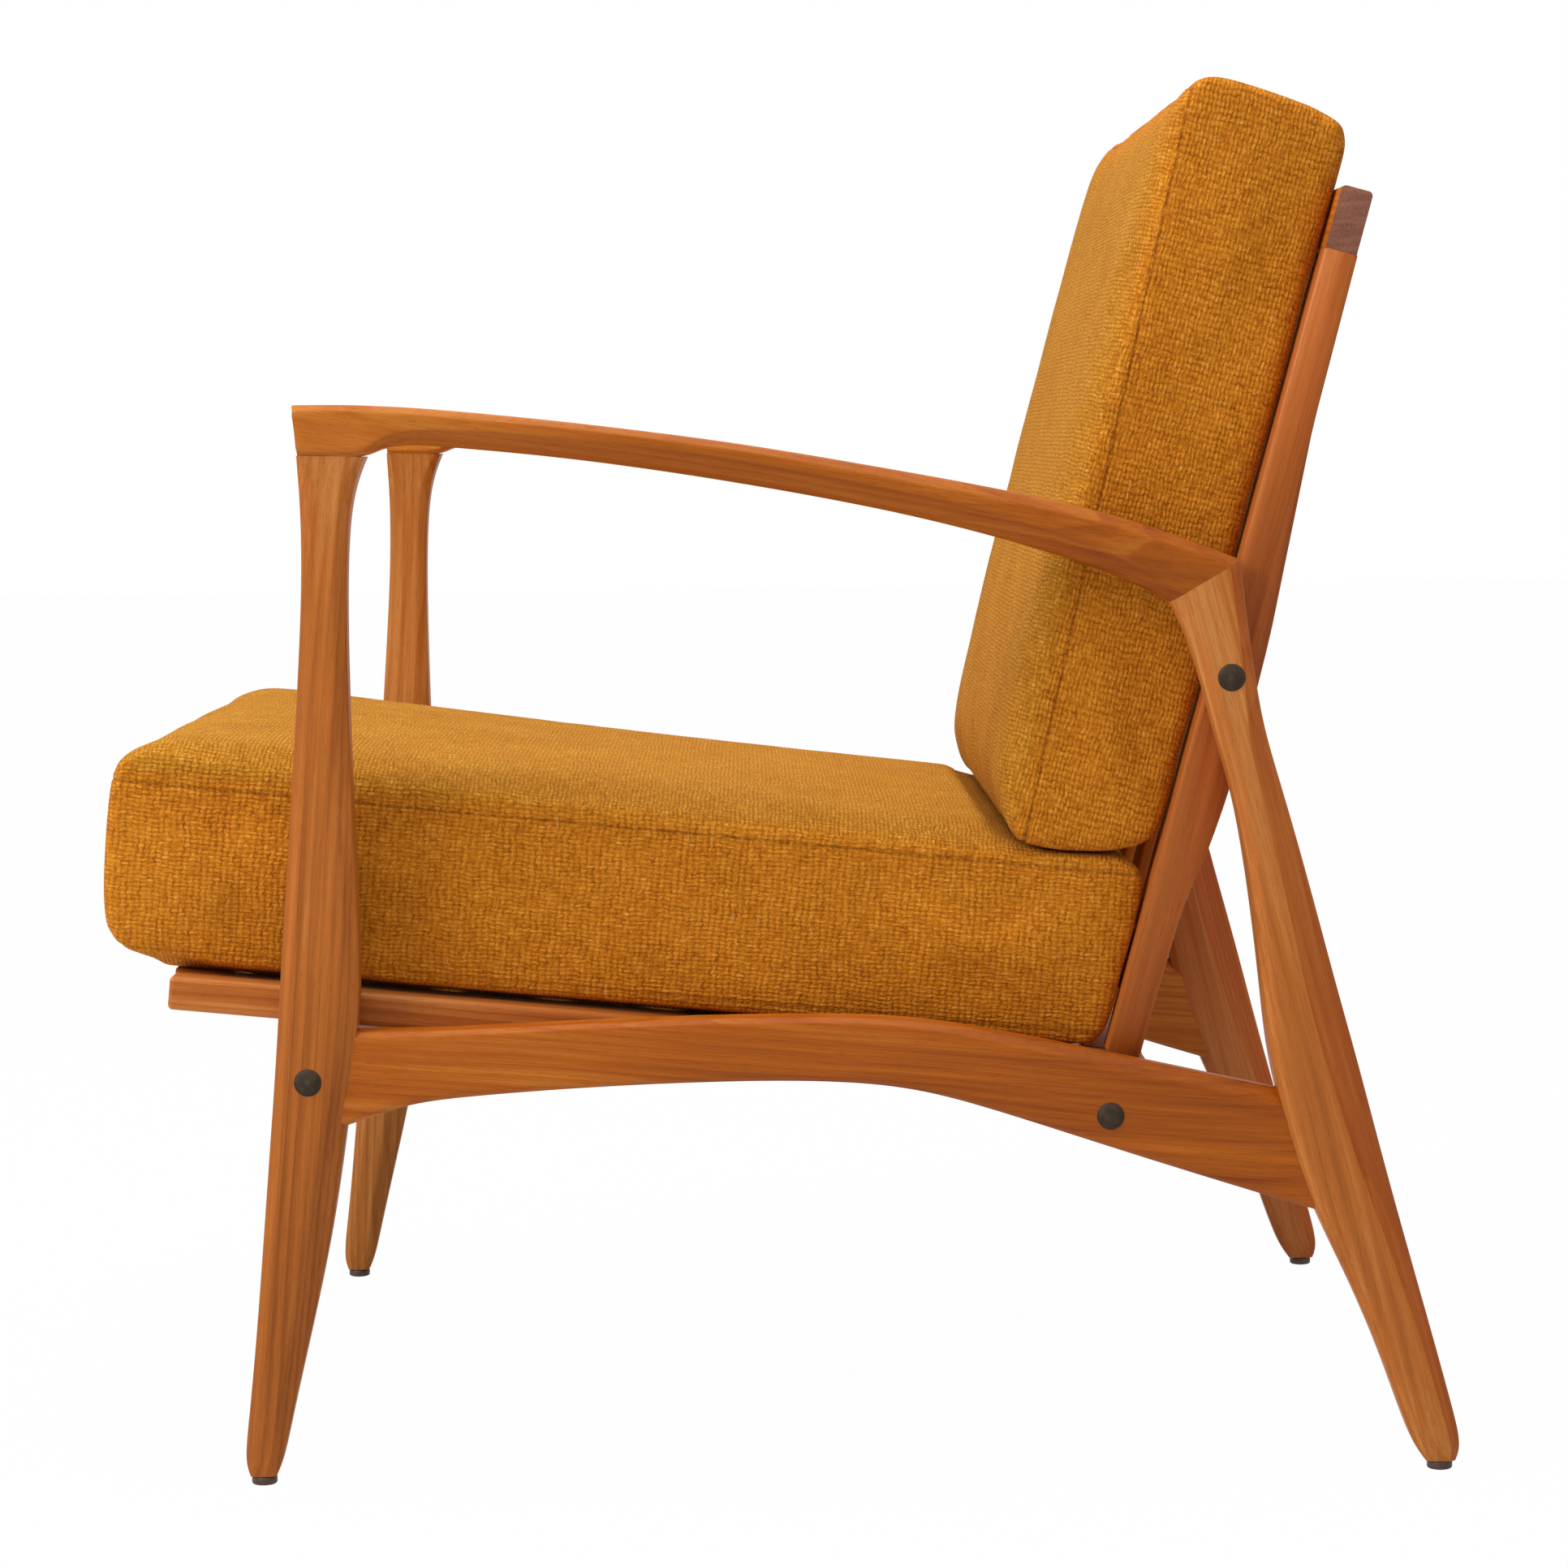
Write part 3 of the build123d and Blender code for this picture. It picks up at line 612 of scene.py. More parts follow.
@dataclass
class Carving:
    """A carved member of the side frame, told by the sections that it runs through."""

    name: str
    rings: list[Ring]
    board: Wood
    other_board: Wood
    arris: float                            # how crisp its long edges are, from 0 to 1
    end_arris: Point                        # how crisp the edges at its two ends are
    cut_across: float = 0.55                # how wide its corner cuts are, in parts of their depth
    painted_shade_side: Vector = field(default_factory=Vector)     # the way its facets with painted shade face, away from the light
    darker: Colour = (1.0, 1.0, 1.0, 1.0)   # what the painted shade keeps of the board's colour
    painted_shade_from: float = 0.32               # how squarely a facet has to face that way to get painted shade

    def corners(self, ring: Ring, middle_x: float, feet_y: float) -> list[Vector]:
        """One section's corners.

        Args:
            ring: the section.
            middle_x: the member's own middle across the chair.
            feet_y: where the middle between the feet lies.

        Returns:
            Its eight corners, in metres.
        """
        (outer_y, outer_z), (inner_y, inner_z) = ring.outer, ring.inner
        depth = math.hypot(outer_y - inner_y, outer_z - inner_z)
        run = ((outer_y - inner_y) / depth, (outer_z - inner_z) / depth)
        half = ring.thick / 2
        side = [
            (half - self.cut_across * ring.outer_cut, depth),
            (half, depth - ring.outer_cut),
            (half, ring.inner_cut),
            (half - self.cut_across * ring.inner_cut, 0.0),
        ]
        outline = side + [(-across, up) for across, up in reversed(side)]
        foot = Vector((middle_x, feet_y, 0.0))
        return [
            foot + Vector((across, inner_y + up * run[0], inner_z + up * run[1])) * MM
            for across, up in outline
        ]

    def build(self, feet_y: float) -> bpy.types.Object:
        """Model the left member and put it on the frame.

        Args:
            feet_y: where the middle between the feet lies.

        Returns:
            The new piece.
        """
        low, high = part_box(self.name)
        sections = [self.corners(ring, (low.x + high.x) / 2, feet_y) for ring in self.rings]
        piece = lofted(self.name + "_carved", sections)
        self.crease(piece)
        outwards(piece)
        applied(piece, "Rounding", "SUBSURF", levels=3, render_levels=3)
        bpy.ops.object.shade_smooth_by_angle(angle=math.radians(50))
        return piece

    def crease(self, piece: bpy.types.Object) -> None:
        """Crease the long edges softly and the end edges more."""
        around = len(self.corners(self.rings[0], 0.0, 0.0))
        shape = bmesh.from_edit_mesh(piece.data)
        creases = shape.edges.layers.float
        mark = creases.get("crease_edge") or creases.new("crease_edge")
        for edge in shape.edges:
            low, high = sorted(vertex.index // around for vertex in edge.verts)
            if low != high:
                edge[mark] = self.arris
            elif low in (0, len(self.rings) - 1):
                edge[mark] = self.end_arris[low > 0]
        bmesh.update_edit_mesh(piece.data)
        bpy.ops.object.mode_set(mode="OBJECT")

    def painted_shade_board(self, board: Wood) -> Wood:
        """A darker copy of the board: painted shade for the facets that face away from the light."""
        deeper = {
            tone: tuple(part * kept for part, kept in zip(getattr(board, tone), self.darker))
            for tone in ("dark_tone", "mid_tone", "pale_tone", "red_tone", "olive_tone")
        }
        return replace(board, name=board.name + "_heart", **deeper)

    def dress(self, piece: bpy.types.Object, board: Wood) -> None:
        """Give a member its board's finish, with painted shade, a darker copy of the board, on the
        facets that face away from the light.

        Args:
            piece: the member.
            board: what it is cut from.
        """
        piece.data.materials.clear()
        piece.data.materials.append(board.material())
        # Painted shade: facets that face the shaded side get a darker copy of the board.
        if self.painted_shade_side.length:
            piece.data.materials.append(self.painted_shade_board(board).material())
            for polygon in piece.data.polygons:
                squarely = polygon.normal.dot(self.painted_shade_side)
                polygon.material_index = int(squarely > self.painted_shade_from)

    def place(self, feet_y: float) -> list[bpy.types.Object]:
        """Build both sides' members, dress them and let them ride.

        Args:
            feet_y: where the middle between the feet lies.

        Returns:
            The left and the right piece.
        """
        left = self.build(feet_y)
        other_name = self.name.replace("left_", "right_")
        right = twin(left, other_name + "_carved")
        sides = ((left, self.name, self.board), (right, other_name, self.other_board))
        for piece, node, board in sides:
            self.dress(piece, board)
            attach(piece, "chair_frame")
            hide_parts(node)
        return [left, right]


MITRE = Ring((231, 538), (190, 514), 30, 7, 8)

FRONT_LEG_RINGS = [
    Ring((-313.5, 604), (-274.5, 603), 35, 3, 4),
    Ring((-313, 590), (-280, 590), 31, 4, 6),
    Ring((-312, 568), (-285, 568), 27, 5, 7),
    Ring((-312.5, 525), (-287, 525), 25, 5, 7),
    Ring((-316, 470), (-287, 470), 26, 5, 7),
    Ring((-322.5, 385), (-285.5, 385), 28.5, 6, 9),
    Ring((-329, 305), (-282, 305), 30, 7, 9),
    Ring((-332.5, 255), (-286.5, 255), 30, 7, 9),
    Ring((-337, 205), (-293.5, 205), 30, 7, 14),
    Ring((-342, 150), (-302, 150), 28, 7, 16),
    Ring((-347.5, 90), (-316, 90), 25, 6, 12),
    Ring((-352.5, 45), (-327, 45), 22.5, 5, 9),
    Ring((-356.5, 15), (-333.5, 15), 20, 5, 6),
    Ring((-353, 5), (-338, 5), 14, 3, 3),
]
REAR_LEG_RINGS = [
    MITRE,
    Ring((234, 508), (198, 500), 30, 6, 8),
    Ring((239, 472), (209, 468), 30, 6, 6),
    Ring((245, 438), (217, 434), 30, 11, 6),
    Ring((257, 400), (228, 400), 30, 14, 6),
    Ring((273, 343), (237, 343), 30, 17, 6),
    Ring((288, 286), (243.5, 286), 30, 20, 6),
    Ring((299, 247), (247, 247), 30, 20, 6),
    Ring((311, 200), (259, 200), 30, 18, 6),
    Ring((322, 158), (272.5, 158), 30, 14, 7),
    Ring((333, 118), (292.5, 118), 27, 10, 8),
    Ring((345, 75), (311, 75), 25, 8, 7),
    Ring((354.5, 40), (323, 40), 22.5, 7, 6),
    Ring((361, 15), (332.5, 15), 20, 6, 5),
    Ring((357, 5), (340, 5), 14, 3, 3),
]
ARM_RINGS = [
    Ring((-316, 633), (-313, 603), 37, 4, 3),
    Ring((-293, 633), (-292, 603), 38, 4, 3),
    Ring((-276, 632.5), (-275.5, 602.6), 40, 4, 3),
    Ring((-268, 632), (-268, 606.6), 41, 4, 5),
    Ring((-258, 631.5), (-258, 609), 42, 4, 7),
    Ring((-243, 630.5), (-243, 609.4), 43, 4, 9),
    Ring((-215, 628), (-216, 607), 46, 4, 11),
    Ring((-150, 621), (-152, 600.5), 52, 4, 12),
    Ring((-62, 609), (-65, 587), 56, 4, 13),
    Ring((30, 592.5), (26, 569.5), 55, 5, 13),
    Ring((92, 580.5), (86, 554), 50, 6, 13),
    Ring((150, 567.5), (136, 538.5), 43, 7, 13),
    Ring((195, 552.5), (168, 526), 34, 7, 10),
    MITRE,
]
SIDE_RAIL_RINGS = [
    Ring((-308, 268), (-308, 208), 23, 3, 3),
    Ring((-276, 268.7), (-276, 219), 26, 3, 3),
    Ring((-254, 268.4), (-254, 226), 26, 3, 3),
    Ring((-225, 268.8), (-225, 229.5), 26, 3, 3),
    Ring((-150, 272), (-150, 234.5), 26, 3, 3),
    Ring((-70, 274), (-70, 237), 26, 3, 3),
    Ring((-10, 274), (-10, 236.5), 26, 3, 3),
    Ring((40, 272), (40, 232), 26, 4, 3),
    Ring((90, 263.5), (90, 217), 26, 6, 3),
    Ring((160, 248.7), (160, 193), 26, 8, 3),
    Ring((246, 229.5), (246, 165), 26, 9, 3),
    Ring((286, 220.5), (286, 153), 24, 9, 3),
]


def oiled(name: str, turn: Triple, seed: float, **settings: object) -> Wood:
    """A board of the deeper, redder wood that the rails, the arms and the back are cut from."""
    return Wood(
        name,
        turn,
        seed,
        dark_tone=linear(128, 56, 6),
        mid_tone=linear(173, 89, 14),
        pale_tone=linear(206, 130, 46),
        red_tone=linear(162, 68, 8),
        olive_tone=linear(156, 92, 14),
        **settings,
    )


@dataclass
class SideFrames:
    """The two side frames: front and rear legs, arms and side rails."""

    members: list[Carving] = field(
        default_factory=lambda: [
            Carving(
                "left_front_leg",
                FRONT_LEG_RINGS,
                Wood(
                    "front_leg_wood",
                    (-85.0, 0.0, 0.0),
                    1.3,
                    pith=(0.03, 0.10),
                    fade=(0.62, 0.38),
                    dark_tone=linear(142, 74, 18),
                    mid_tone=linear(185, 105, 38),
                ),
                Wood(
                    "front_leg_wood_right",
                    (-86.0, 0.0, 0.0),
                    6.1,
                    pith=(0.05, 0.09),
                    dark_tone=linear(140, 76, 22),
                    mid_tone=linear(180, 108, 44),
                    pale_tone=linear(214, 150, 80),
                    red_tone=linear(168, 88, 34),
                ),
                arris=0.6,
                end_arris=(1.0, 0.8),
            ),
            Carving(
                "left_rear_leg",
                REAR_LEG_RINGS,
                Wood(
                    "rear_leg_wood",
                    (-104.5, 0.0, 0.0),
                    2.7,
                    pith=(0.04, 0.12),
                    red=0.3,
                    ring_depth=0.12,
                    dark_tone=linear(142, 76, 22),
                    mid_tone=linear(184, 105, 41),
                    pale_tone=linear(214, 148, 82),
                ),
                Wood(
                    "rear_leg_wood_right",
                    (-104.0, 0.0, 0.0),
                    7.9,
                    pith=(0.03, 0.12),
                    red=0.8,
                    ring_depth=0.12,
                    dark_tone=linear(142, 66, 16),
                    mid_tone=linear(182, 94, 34),
                    pale_tone=linear(208, 134, 74),
                ),
                cut_across=0.74,
                arris=0.9,
                end_arris=(1.0, 0.8),
                # Painted shade: the rear leg's rear-facing facets are darkened.
                painted_shade_side=Vector((0.0, 1.0, 0.0)),
                darker=(0.88, 0.64, 0.36, 1.0),
            ),
            Carving(
                "left_armrest",
                ARM_RINGS,
                oiled(
                    "arm_wood",
                    (9.0, 0.0, 0.0),
                    3.9,
                    pith=(0.02, -0.52),
                    wander=9 * MM,
                    fade=(-0.30, 0.50),
                ),
                oiled(
                    "arm_wood_right",
                    (8.0, 0.0, 0.0),
                    9.2,
                    pith=(0.03, -0.50),
                    wander=9 * MM,
                    fade=(-0.30, 0.50),
                ),
                cut_across=0.74,
                arris=0.74,
                end_arris=(0.8, 1.0),
                # Painted shade: the arm's downward-facing facets are darkened.
                painted_shade_side=Vector((0.0, 0.0, -1.0)),
                darker=(0.92, 0.84, 0.74, 1.0),
            ),
            Carving(
                "left_side_rail",
                SIDE_RAIL_RINGS,
                oiled(
                    "side_rail_wood",
                    (5.0, 0.0, 0.0),
                    4.6,
                    pith=(-0.29, -0.17),
                    wander=14 * MM,
                    red=0.3,
                    ring_depth=0.10,
                ),
                oiled("side_rail_wood_right", (5.0, 0.0, 0.0), 8.3, pith=(0.33, -0.18)),
                cut_across=1.05,
                arris=0.8,
                end_arris=(1.0, 1.0),
            ),
        ]
    )

    def build(self, feet_y: float) -> list[bpy.types.Object]:
        """Model and dress every member.

        Args:
            feet_y: where the middle between the feet lies.

        Returns:
            The left and right members.
        """
        return [piece for member in self.members for piece in member.place(feet_y)]


# ---- straight parts that keep the frame's own solids ----
@dataclass
class Joinery:
    """The seat frame, back frame and fittings, whose solids stay as they are."""

    nodes: dict[str, bpy.types.Object]
    arris: float = 1.3 * MM                 # how widely the wooden parts' edges are rounded
    gentlest: float = 32.0                  # edges that turn less, in degrees, stay as they are

    def softened(self, node: str, width: float) -> None:
        """Round a solid's edges a little with modifiers.

        Args:
            node: the frame's node.
            width: the rounding's width.
        """
        piece = self.nodes[node]
        weld = piece.modifiers.new("Weld", "WELD")
        weld.merge_threshold = 0.01 * MM
        flat = piece.modifiers.new("Flat faces", "DECIMATE")
        flat.decimate_type = "DISSOLVE"
        flat.angle_limit = math.radians(1.0)
        flat.delimit = {"MATERIAL"}
        bevel = piece.modifiers.new("Arris", "BEVEL")
        bevel.width = width
        bevel.segments = 2
        bevel.limit_method = "ANGLE"
        bevel.angle_limit = math.radians(self.gentlest)
        bevel.harden_normals = True
        for polygon in piece.data.polygons:
            polygon.use_smooth = True

    def dress(self, names: Iterable[str], finish: Wood | Plain, width: float) -> list[bpy.types.Object]:
        """Give some of the frame's nodes a finish.

        Args:
            names: the nodes.
            finish: what they are made of.
            width: how wide their edges are rounded, or 0.

        Returns:
            Their objects.
        """
        material = finish.material()
        dressed = []
        for name in names:
            piece = self.nodes[name]
            piece.data.materials.clear()
            piece.data.materials.append(material)
            if width:
                self.softened(name, width)
            dressed.append(piece)
        return dressed

    def show_end_grain(self, node: str, finish: EndGrain) -> None:
        """Give the faces at a cross rail's two ends their own finish.

        Args:
            node: the frame's node.
            finish: the cut wood's look.
        """
        mesh = self.nodes[node].data
        mesh.materials.append(finish.material())
        for polygon in mesh.polygons:
            polygon.material_index = int(abs(polygon.normal.x) > 0.9)

    def boards(self) -> list[tuple[list[str], Wood]]:
        """The wooden nodes whose edges get rounded, each with the board that it is cut from."""
        seat = (SEAT_SLOPE, 0.0, 0.0)
        back = (-BACK_LEAN, 0.0, 0.0)
        across = (0.0, 0.0, 90.0)
        stile = Wood(
            "stile_wood",
            back,
            3.1,
            pith=(0.06, 0.08),
            dark_tone=linear(150, 70, 16),
            mid_tone=linear(182, 98, 40),
            pale_tone=linear(206, 136, 74),
            red_tone=linear(170, 84, 34),
        )
        return [
            (["left_seat_rail"], Wood("seat_rail_wood", seat, 5.2, pith=(0.03, 0.09))),
            (["right_seat_rail"], Wood("seat_rail_wood_right", seat, 9.9, pith=(0.03, 0.1))),
            (["left_stile"], stile),
            (["right_stile"], oiled("stile_wood_right", back, 8.8, pith=(0.05, 0.09))),
            (["crest_rail"], oiled("crest_wood", across, 4.4)),
            (["lower_back_rail"], oiled("lower_rail_wood", across, 2.2)),
            (["seat_front_rail", "seat_rear_rail"], Wood("cross_rail_wood", across, 6.6)),
            (["front_bearer", "rear_bearer"], Wood("bearer_wood", across, 7.7)),
        ]

    def batten(self) -> Wood:
        """The raw, greyer wood of the battens that hold the straps."""
        return Wood(
            "batten_wood",
            (SEAT_SLOPE, 0.0, 0.0),
            1.1,
            dark_tone=linear(112, 90, 66),
            mid_tone=linear(150, 128, 100),
            pale_tone=linear(176, 156, 128),
            red_tone=linear(140, 114, 86),
            olive_tone=linear(146, 126, 92),
        )

    def fittings(self) -> list[tuple[list[str], Wood | Plain, float]]:
        """The slats and small parts, each with its finish and how wide its edges are rounded."""
        slats = [name for name in self.nodes if name.startswith("back_slat")]
        slat = oiled("slat_wood", (-BACK_LEAN, 0.0, 0.0), 5.5, pith=(0.05, 0.2))
        beech = Plain("dowel_beech", linear(205, 168, 120), linear(188, 148, 100), 0.6)
        webbing = Plain(
            "webbing",
            linear(64, 58, 50),
            linear(88, 80, 68),
            0.85,
            stretch=(500.0, 900.0, 900.0),
            depth=0.3 * MM,
        )
        steel = Plain("zinc_steel", linear(190, 190, 186), linear(168, 168, 166), 0.35, metal=1.0)
        bronze = Plain("cap_bronze", linear(46, 36, 24), linear(64, 48, 32), 0.55, shine=0.2)
        plastic = Plain("glide_plastic", linear(70, 46, 32), linear(54, 36, 26), 0.5)
        return [
            (slats, slat, 0.0),
            (["left_batten", "right_batten"], self.batten(), 0.0),
            (["left_side_dowels", "right_side_dowels", "seat_dowels", "back_dowels"], beech, 0.0),
            (["seat_straps"], webbing, 0.0),
            (["bearer_bolts", "back_bolts", "barrel_nuts", "stile_inserts"], steel, 0.0),
            (["bolt_caps"], bronze, 0.5 * MM),
            (["foot_glides"], plastic, 0.8 * MM),
        ]

    def build(self) -> list[bpy.types.Object]:
        """Dress every node that stays."""
        dressed = []
        for names, board in self.boards():
            dressed += self.dress(names, board, self.arris)
        for names, finish, width in self.fittings():
            dressed += self.dress(names, finish, width)
        self.show_end_grain("crest_rail", EndGrain("crest_end_grain"))
        return dressed


# ---- cushions ----
class Panel(Enum):
    """Which way a cushion's profile faces at a point, and its rounding there, in millimetres."""

    CROWN = 7.5
    FRONT = 8.5
    REST = 5.0
    END = 7.0


@dataclass(frozen=True)
class Seam:
    """A sewn line where a plane cuts the cushion.

    Its places are along and up in the cushion's own side view, in millimetres.
    """

    start: Point
    end: Point
    depth: float
    dark: float = 1.0                       # how dark its line is


SEAM_CUTS = (-4.5, -2.6, -1.3, -0.6, 0.0, 0.6, 1.3, 2.6, 4.5)       # where edges run beside a seam
SEAM_STEPS = ((0.1, 0.40), (0.8, 0.40), (1.5, 0.35), (3.0, -0.25))  # reach, and share of its depth
SEAM_REACH = 1.35                       # how far its dark line reaches to each side, in millimetres


def smooth(inside: float, run: float) -> float:
    """A soft rise from 0 at an edge to 1 at a run inside it."""
    part = min(1.0, max(0.0, inside / run))
    return part * part * (3 - 2 * part)


def limit(line: list[Point], at: float) -> float:
    """How far a cushion may reach at a place, by a bent line of limits.

    Args:
        line: places and the limit at each, in order.
        at: the place.

    Returns:
        The limit there. Beyond the line's ends there is none.
    """
    for (start, low), (end, high) in zip(line, line[1:]):
        if start <= at <= end:
            return low + (high - low) * (at - start) / (end - start)
    return math.inf


@dataclass
class Cushion:
    """A boxed cushion. Its own side view has Y along it and Z up from what it rests on.

    Sizes are in millimetres where their lines don't say MM.
    """

    name: str
    body: str
    nodes: tuple[str, str]
    profile: list[tuple[float, float, Panel]]       # along, up and panel, in millimetres
    crown: float                            # how much its crowned panel rises in the middle
    seams: list[Seam]
    foot: Vector                            # where its own zero lies on the chair
    turn: float                             # its own turn about X, in degrees
    fill: float
    half_width: float = 286.0
    ceiling: list[Point] = field(default_factory=list)      # what presses on it from above
    wall: list[Point] = field(default_factory=list)         # what it meets at its far end
    sag: float = 0.0                        # how far its underside hangs into the hollow
    hollow: Triple = (0.0, 0.0, 0.0)        # the hollow's half width, start and end
    rim: float = 0.0                        # how far its edge stands clear beside the hollow
    rim_run: float = 14.0                   # over what width the edge comes clear
    side_run: float = 8.0                   # over what width the sag begins at the hollow's sides
    end_run: float = 12.0                   # over what length it begins at the hollow's ends
    voxel: float = 6.4 * MM
    pressure: float = 4.0
    frames: int = 20                        # how long it swells
    most: float = 6 * MM                    # how far the simulation may move a point
    ease: float = 4.5        # what swelling takes off the sides
    top_light_start: float = 15.0                  # how far above its seam the crowned panel's painted top light begins
    foam_inset: float = 9.0                 # how far the foam stays inside the cover

    def place(self) -> Matrix:
        """The matrix from the cushion's own view to the chair."""
        return Matrix.Translation(self.foot) @ Matrix.Rotation(math.radians(self.turn), 4, "X")

    def inward(self, number: int) -> Vector:
        """The way into the cushion from one point of its profile."""
        count = len(self.profile)
        before = self.profile[(number - 1) % count]
        after = self.profile[(number + 1) % count]
        along, up = after[0] - before[0], after[1] - before[1]
        length = math.hypot(along, up)
        return Vector((0.0, up / length, -along / length))

    def bulge(self, along: float) -> float:
        """How far the crowned panel rises in its middle at a place along the cushion."""
        places = [place for place, _, panel in self.profile if panel is Panel.CROWN]
        half = (max(places) - min(places)) / 2
        return self.crown * (1 - (abs(along - min(places) - half) / half) ** 4)

    def section(self, side: float, turn: float, ease: float) -> list[Vector]:
        """One section across the chair.

        Args:
            side: how far across, from -1 to 1, before the edge's rounding.
            turn: how far round the edge, from 0 at the outer face to 90 where the panels begin.
            ease: how far the side faces stand out, in millimetres.

        Returns:
            The section's points, in metres.
        """
        away = math.sin(math.radians(turn))
        reach = 1 - math.cos(math.radians(turn))
        points = []
        for number, (along, up, panel) in enumerate(self.profile):
            half = self.half_width + ease - panel.value * reach * (abs(side) == 1)
            rise = self.bulge(along) * (1 - abs(side) ** 2.6) if panel is Panel.CROWN else 0.0
            spread = ease if ease < 0 or panel in (Panel.FRONT, Panel.END) else 0.0
            flat = Vector((half * side, along, up + rise))
            points.append((flat + self.inward(number) * (panel.value * (1 - away) - spread)) * MM)
        return points

    def blank(self, name: str, ease: float) -> bpy.types.Object:
        """The cushion's plain shape, before it is filled.

        Args:
            name: the new piece's name.
            ease: how far its faces stand out, in millimetres.

        Returns:
            The shape.
        """
        turns = (0.0, 30.0, 60.0, 90.0)
        places = [(-1.0, turn) for turn in turns]
        places += [(side, turns[-1]) for side in (-0.8, -0.5, 0.0, 0.5, 0.8)]
        places += [(1.0, turn) for turn in reversed(turns)]
        piece = lofted(name, [self.section(side, turn, ease) for side, turn in places])
        bpy.ops.object.mode_set(mode="OBJECT")
        outwards(piece)
        applied(piece, "Rounding", "SUBSURF", levels=2, render_levels=2)
        return piece

    def fill_up(self, piece: bpy.types.Object) -> None:
        """Swell the cover with air, as its filling does, and hold every point near its start."""
        applied(
            piece, "Even mesh", "REMESH", mode="VOXEL", voxel_size=self.voxel, use_smooth_shade=True
        )
        start = [vertex.co.copy() for vertex in piece.data.vertices]
        cloth = piece.modifiers.new("Filling", "CLOTH")
        cloth.settings.use_pressure = True
        cloth.settings.uniform_pressure_force = self.pressure
        cloth.settings.effector_weights.gravity = 0.0
        cloth.settings.quality = 5
        cloth.settings.bending_stiffness = 3.0
        cloth.point_cache.frame_start = 1
        cloth.point_cache.frame_end = self.frames
        scene = bpy.context.scene
        for frame_number in range(1, self.frames + 1):
            scene.frame_set(frame_number)
        only(piece)
        bpy.ops.object.modifier_apply(modifier=cloth.name)
        scene.frame_set(1)
        for vertex, old in zip(piece.data.vertices, start):
            moved = vertex.co - old
            if moved.length > self.most:
                vertex.co = old + moved.normalized() * self.most

    def sew(self, piece: bpy.types.Object) -> None:
        """Cut each seam's strip into the mesh and draw its line in."""
        only(piece)
        bpy.ops.object.mode_set(mode="EDIT")
        for seam in self.seams:
            start = Vector((0.0, *seam.start)) * MM
            run = (Vector((0.0, *seam.end)) * MM - start).normalized()
            square = Vector((0.0, -run.z, run.y))
            for offset in SEAM_CUTS:
                bpy.ops.mesh.select_all(action="SELECT")
                bpy.ops.mesh.bisect(plane_co=start + square * offset * MM, plane_no=square)
            for reach, depth in SEAM_STEPS:
                pick(piece, lambda vertex: abs((vertex.co - start).dot(square)) < reach * MM)
                bpy.ops.transform.shrink_fatten(value=-seam.depth * depth * MM)
        bpy.ops.object.mode_set(mode="OBJECT")
        self.stitch(piece)

    def stitch(self, piece: bpy.types.Object) -> None:
        """Mark the seams' threads on the cover, and the crowned panel above the first seam, which gets
        painted top light.
        """
        mark = piece.data.attributes.new("stitches", "FLOAT", "POINT")
        crown = piece.data.attributes.new("crown", "FLOAT", "POINT")
        start, end = Vector((0.0, *self.seams[0].start)), Vector((0.0, *self.seams[0].end))
        square = Vector((0.0, start.z - end.z, end.y - start.y)).normalized()
        # Painted top light: the crown attribute rises to 1 above the first seam.
        for vertex, value in zip(piece.data.vertices, crown.data):
            value.value = smooth((vertex.co / MM - start).dot(square), self.top_light_start)
        for seam in self.seams:
            start = Vector((0.0, *seam.start)) * MM
            run = (Vector((0.0, *seam.end)) * MM - start).normalized()
            square = Vector((0.0, -run.z, run.y))
            for vertex, value in zip(piece.data.vertices, mark.data):
                away = abs((vertex.co - start).dot(square)) / MM
                value.value = max(value.value, min(1.0, SEAM_REACH - away) * seam.dark)

    def rest(self, piece: bpy.types.Object) -> None:
        """Flatten the cushion where it meets what it rests on, or what presses on it."""
        for vertex in piece.data.vertices:
            place = vertex.co
            inside = self.hollow[0] - abs(place.x / MM)
            lowest = REST_GAP + self.rim * smooth(-inside, self.rim_run)
            place.z = max(place.z, lowest * MM)
            place.z = min(place.z, limit(self.ceiling, place.y / MM) * MM)
            place.y = min(place.y, limit(self.wall, place.z / MM) * MM)
            if place.z < max(self.sag, lowest) * MM:
                across = smooth(inside, self.side_run)
                along = smooth(place.y / MM - self.hollow[1], self.end_run)
                along *= smooth(self.hollow[2] - place.y / MM, self.end_run)
                place.z = (lowest - self.sag * across * along) * MM

    def mapped(self, piece: bpy.types.Object) -> None:
        """Lay the cloth's map on the panels, one unit a metre."""
        only(piece)
        for layer in list(piece.data.uv_layers):
            piece.data.uv_layers.remove(layer)
        piece.data.uv_layers.new(name="cloth")
        bpy.ops.object.mode_set(mode="EDIT")
        bpy.ops.mesh.select_all(action="SELECT")
        bpy.ops.uv.cube_project(
            cube_size=1.0, correct_aspect=False, clip_to_bounds=False, scale_to_bounds=False
        )
        bpy.ops.object.mode_set(mode="OBJECT")

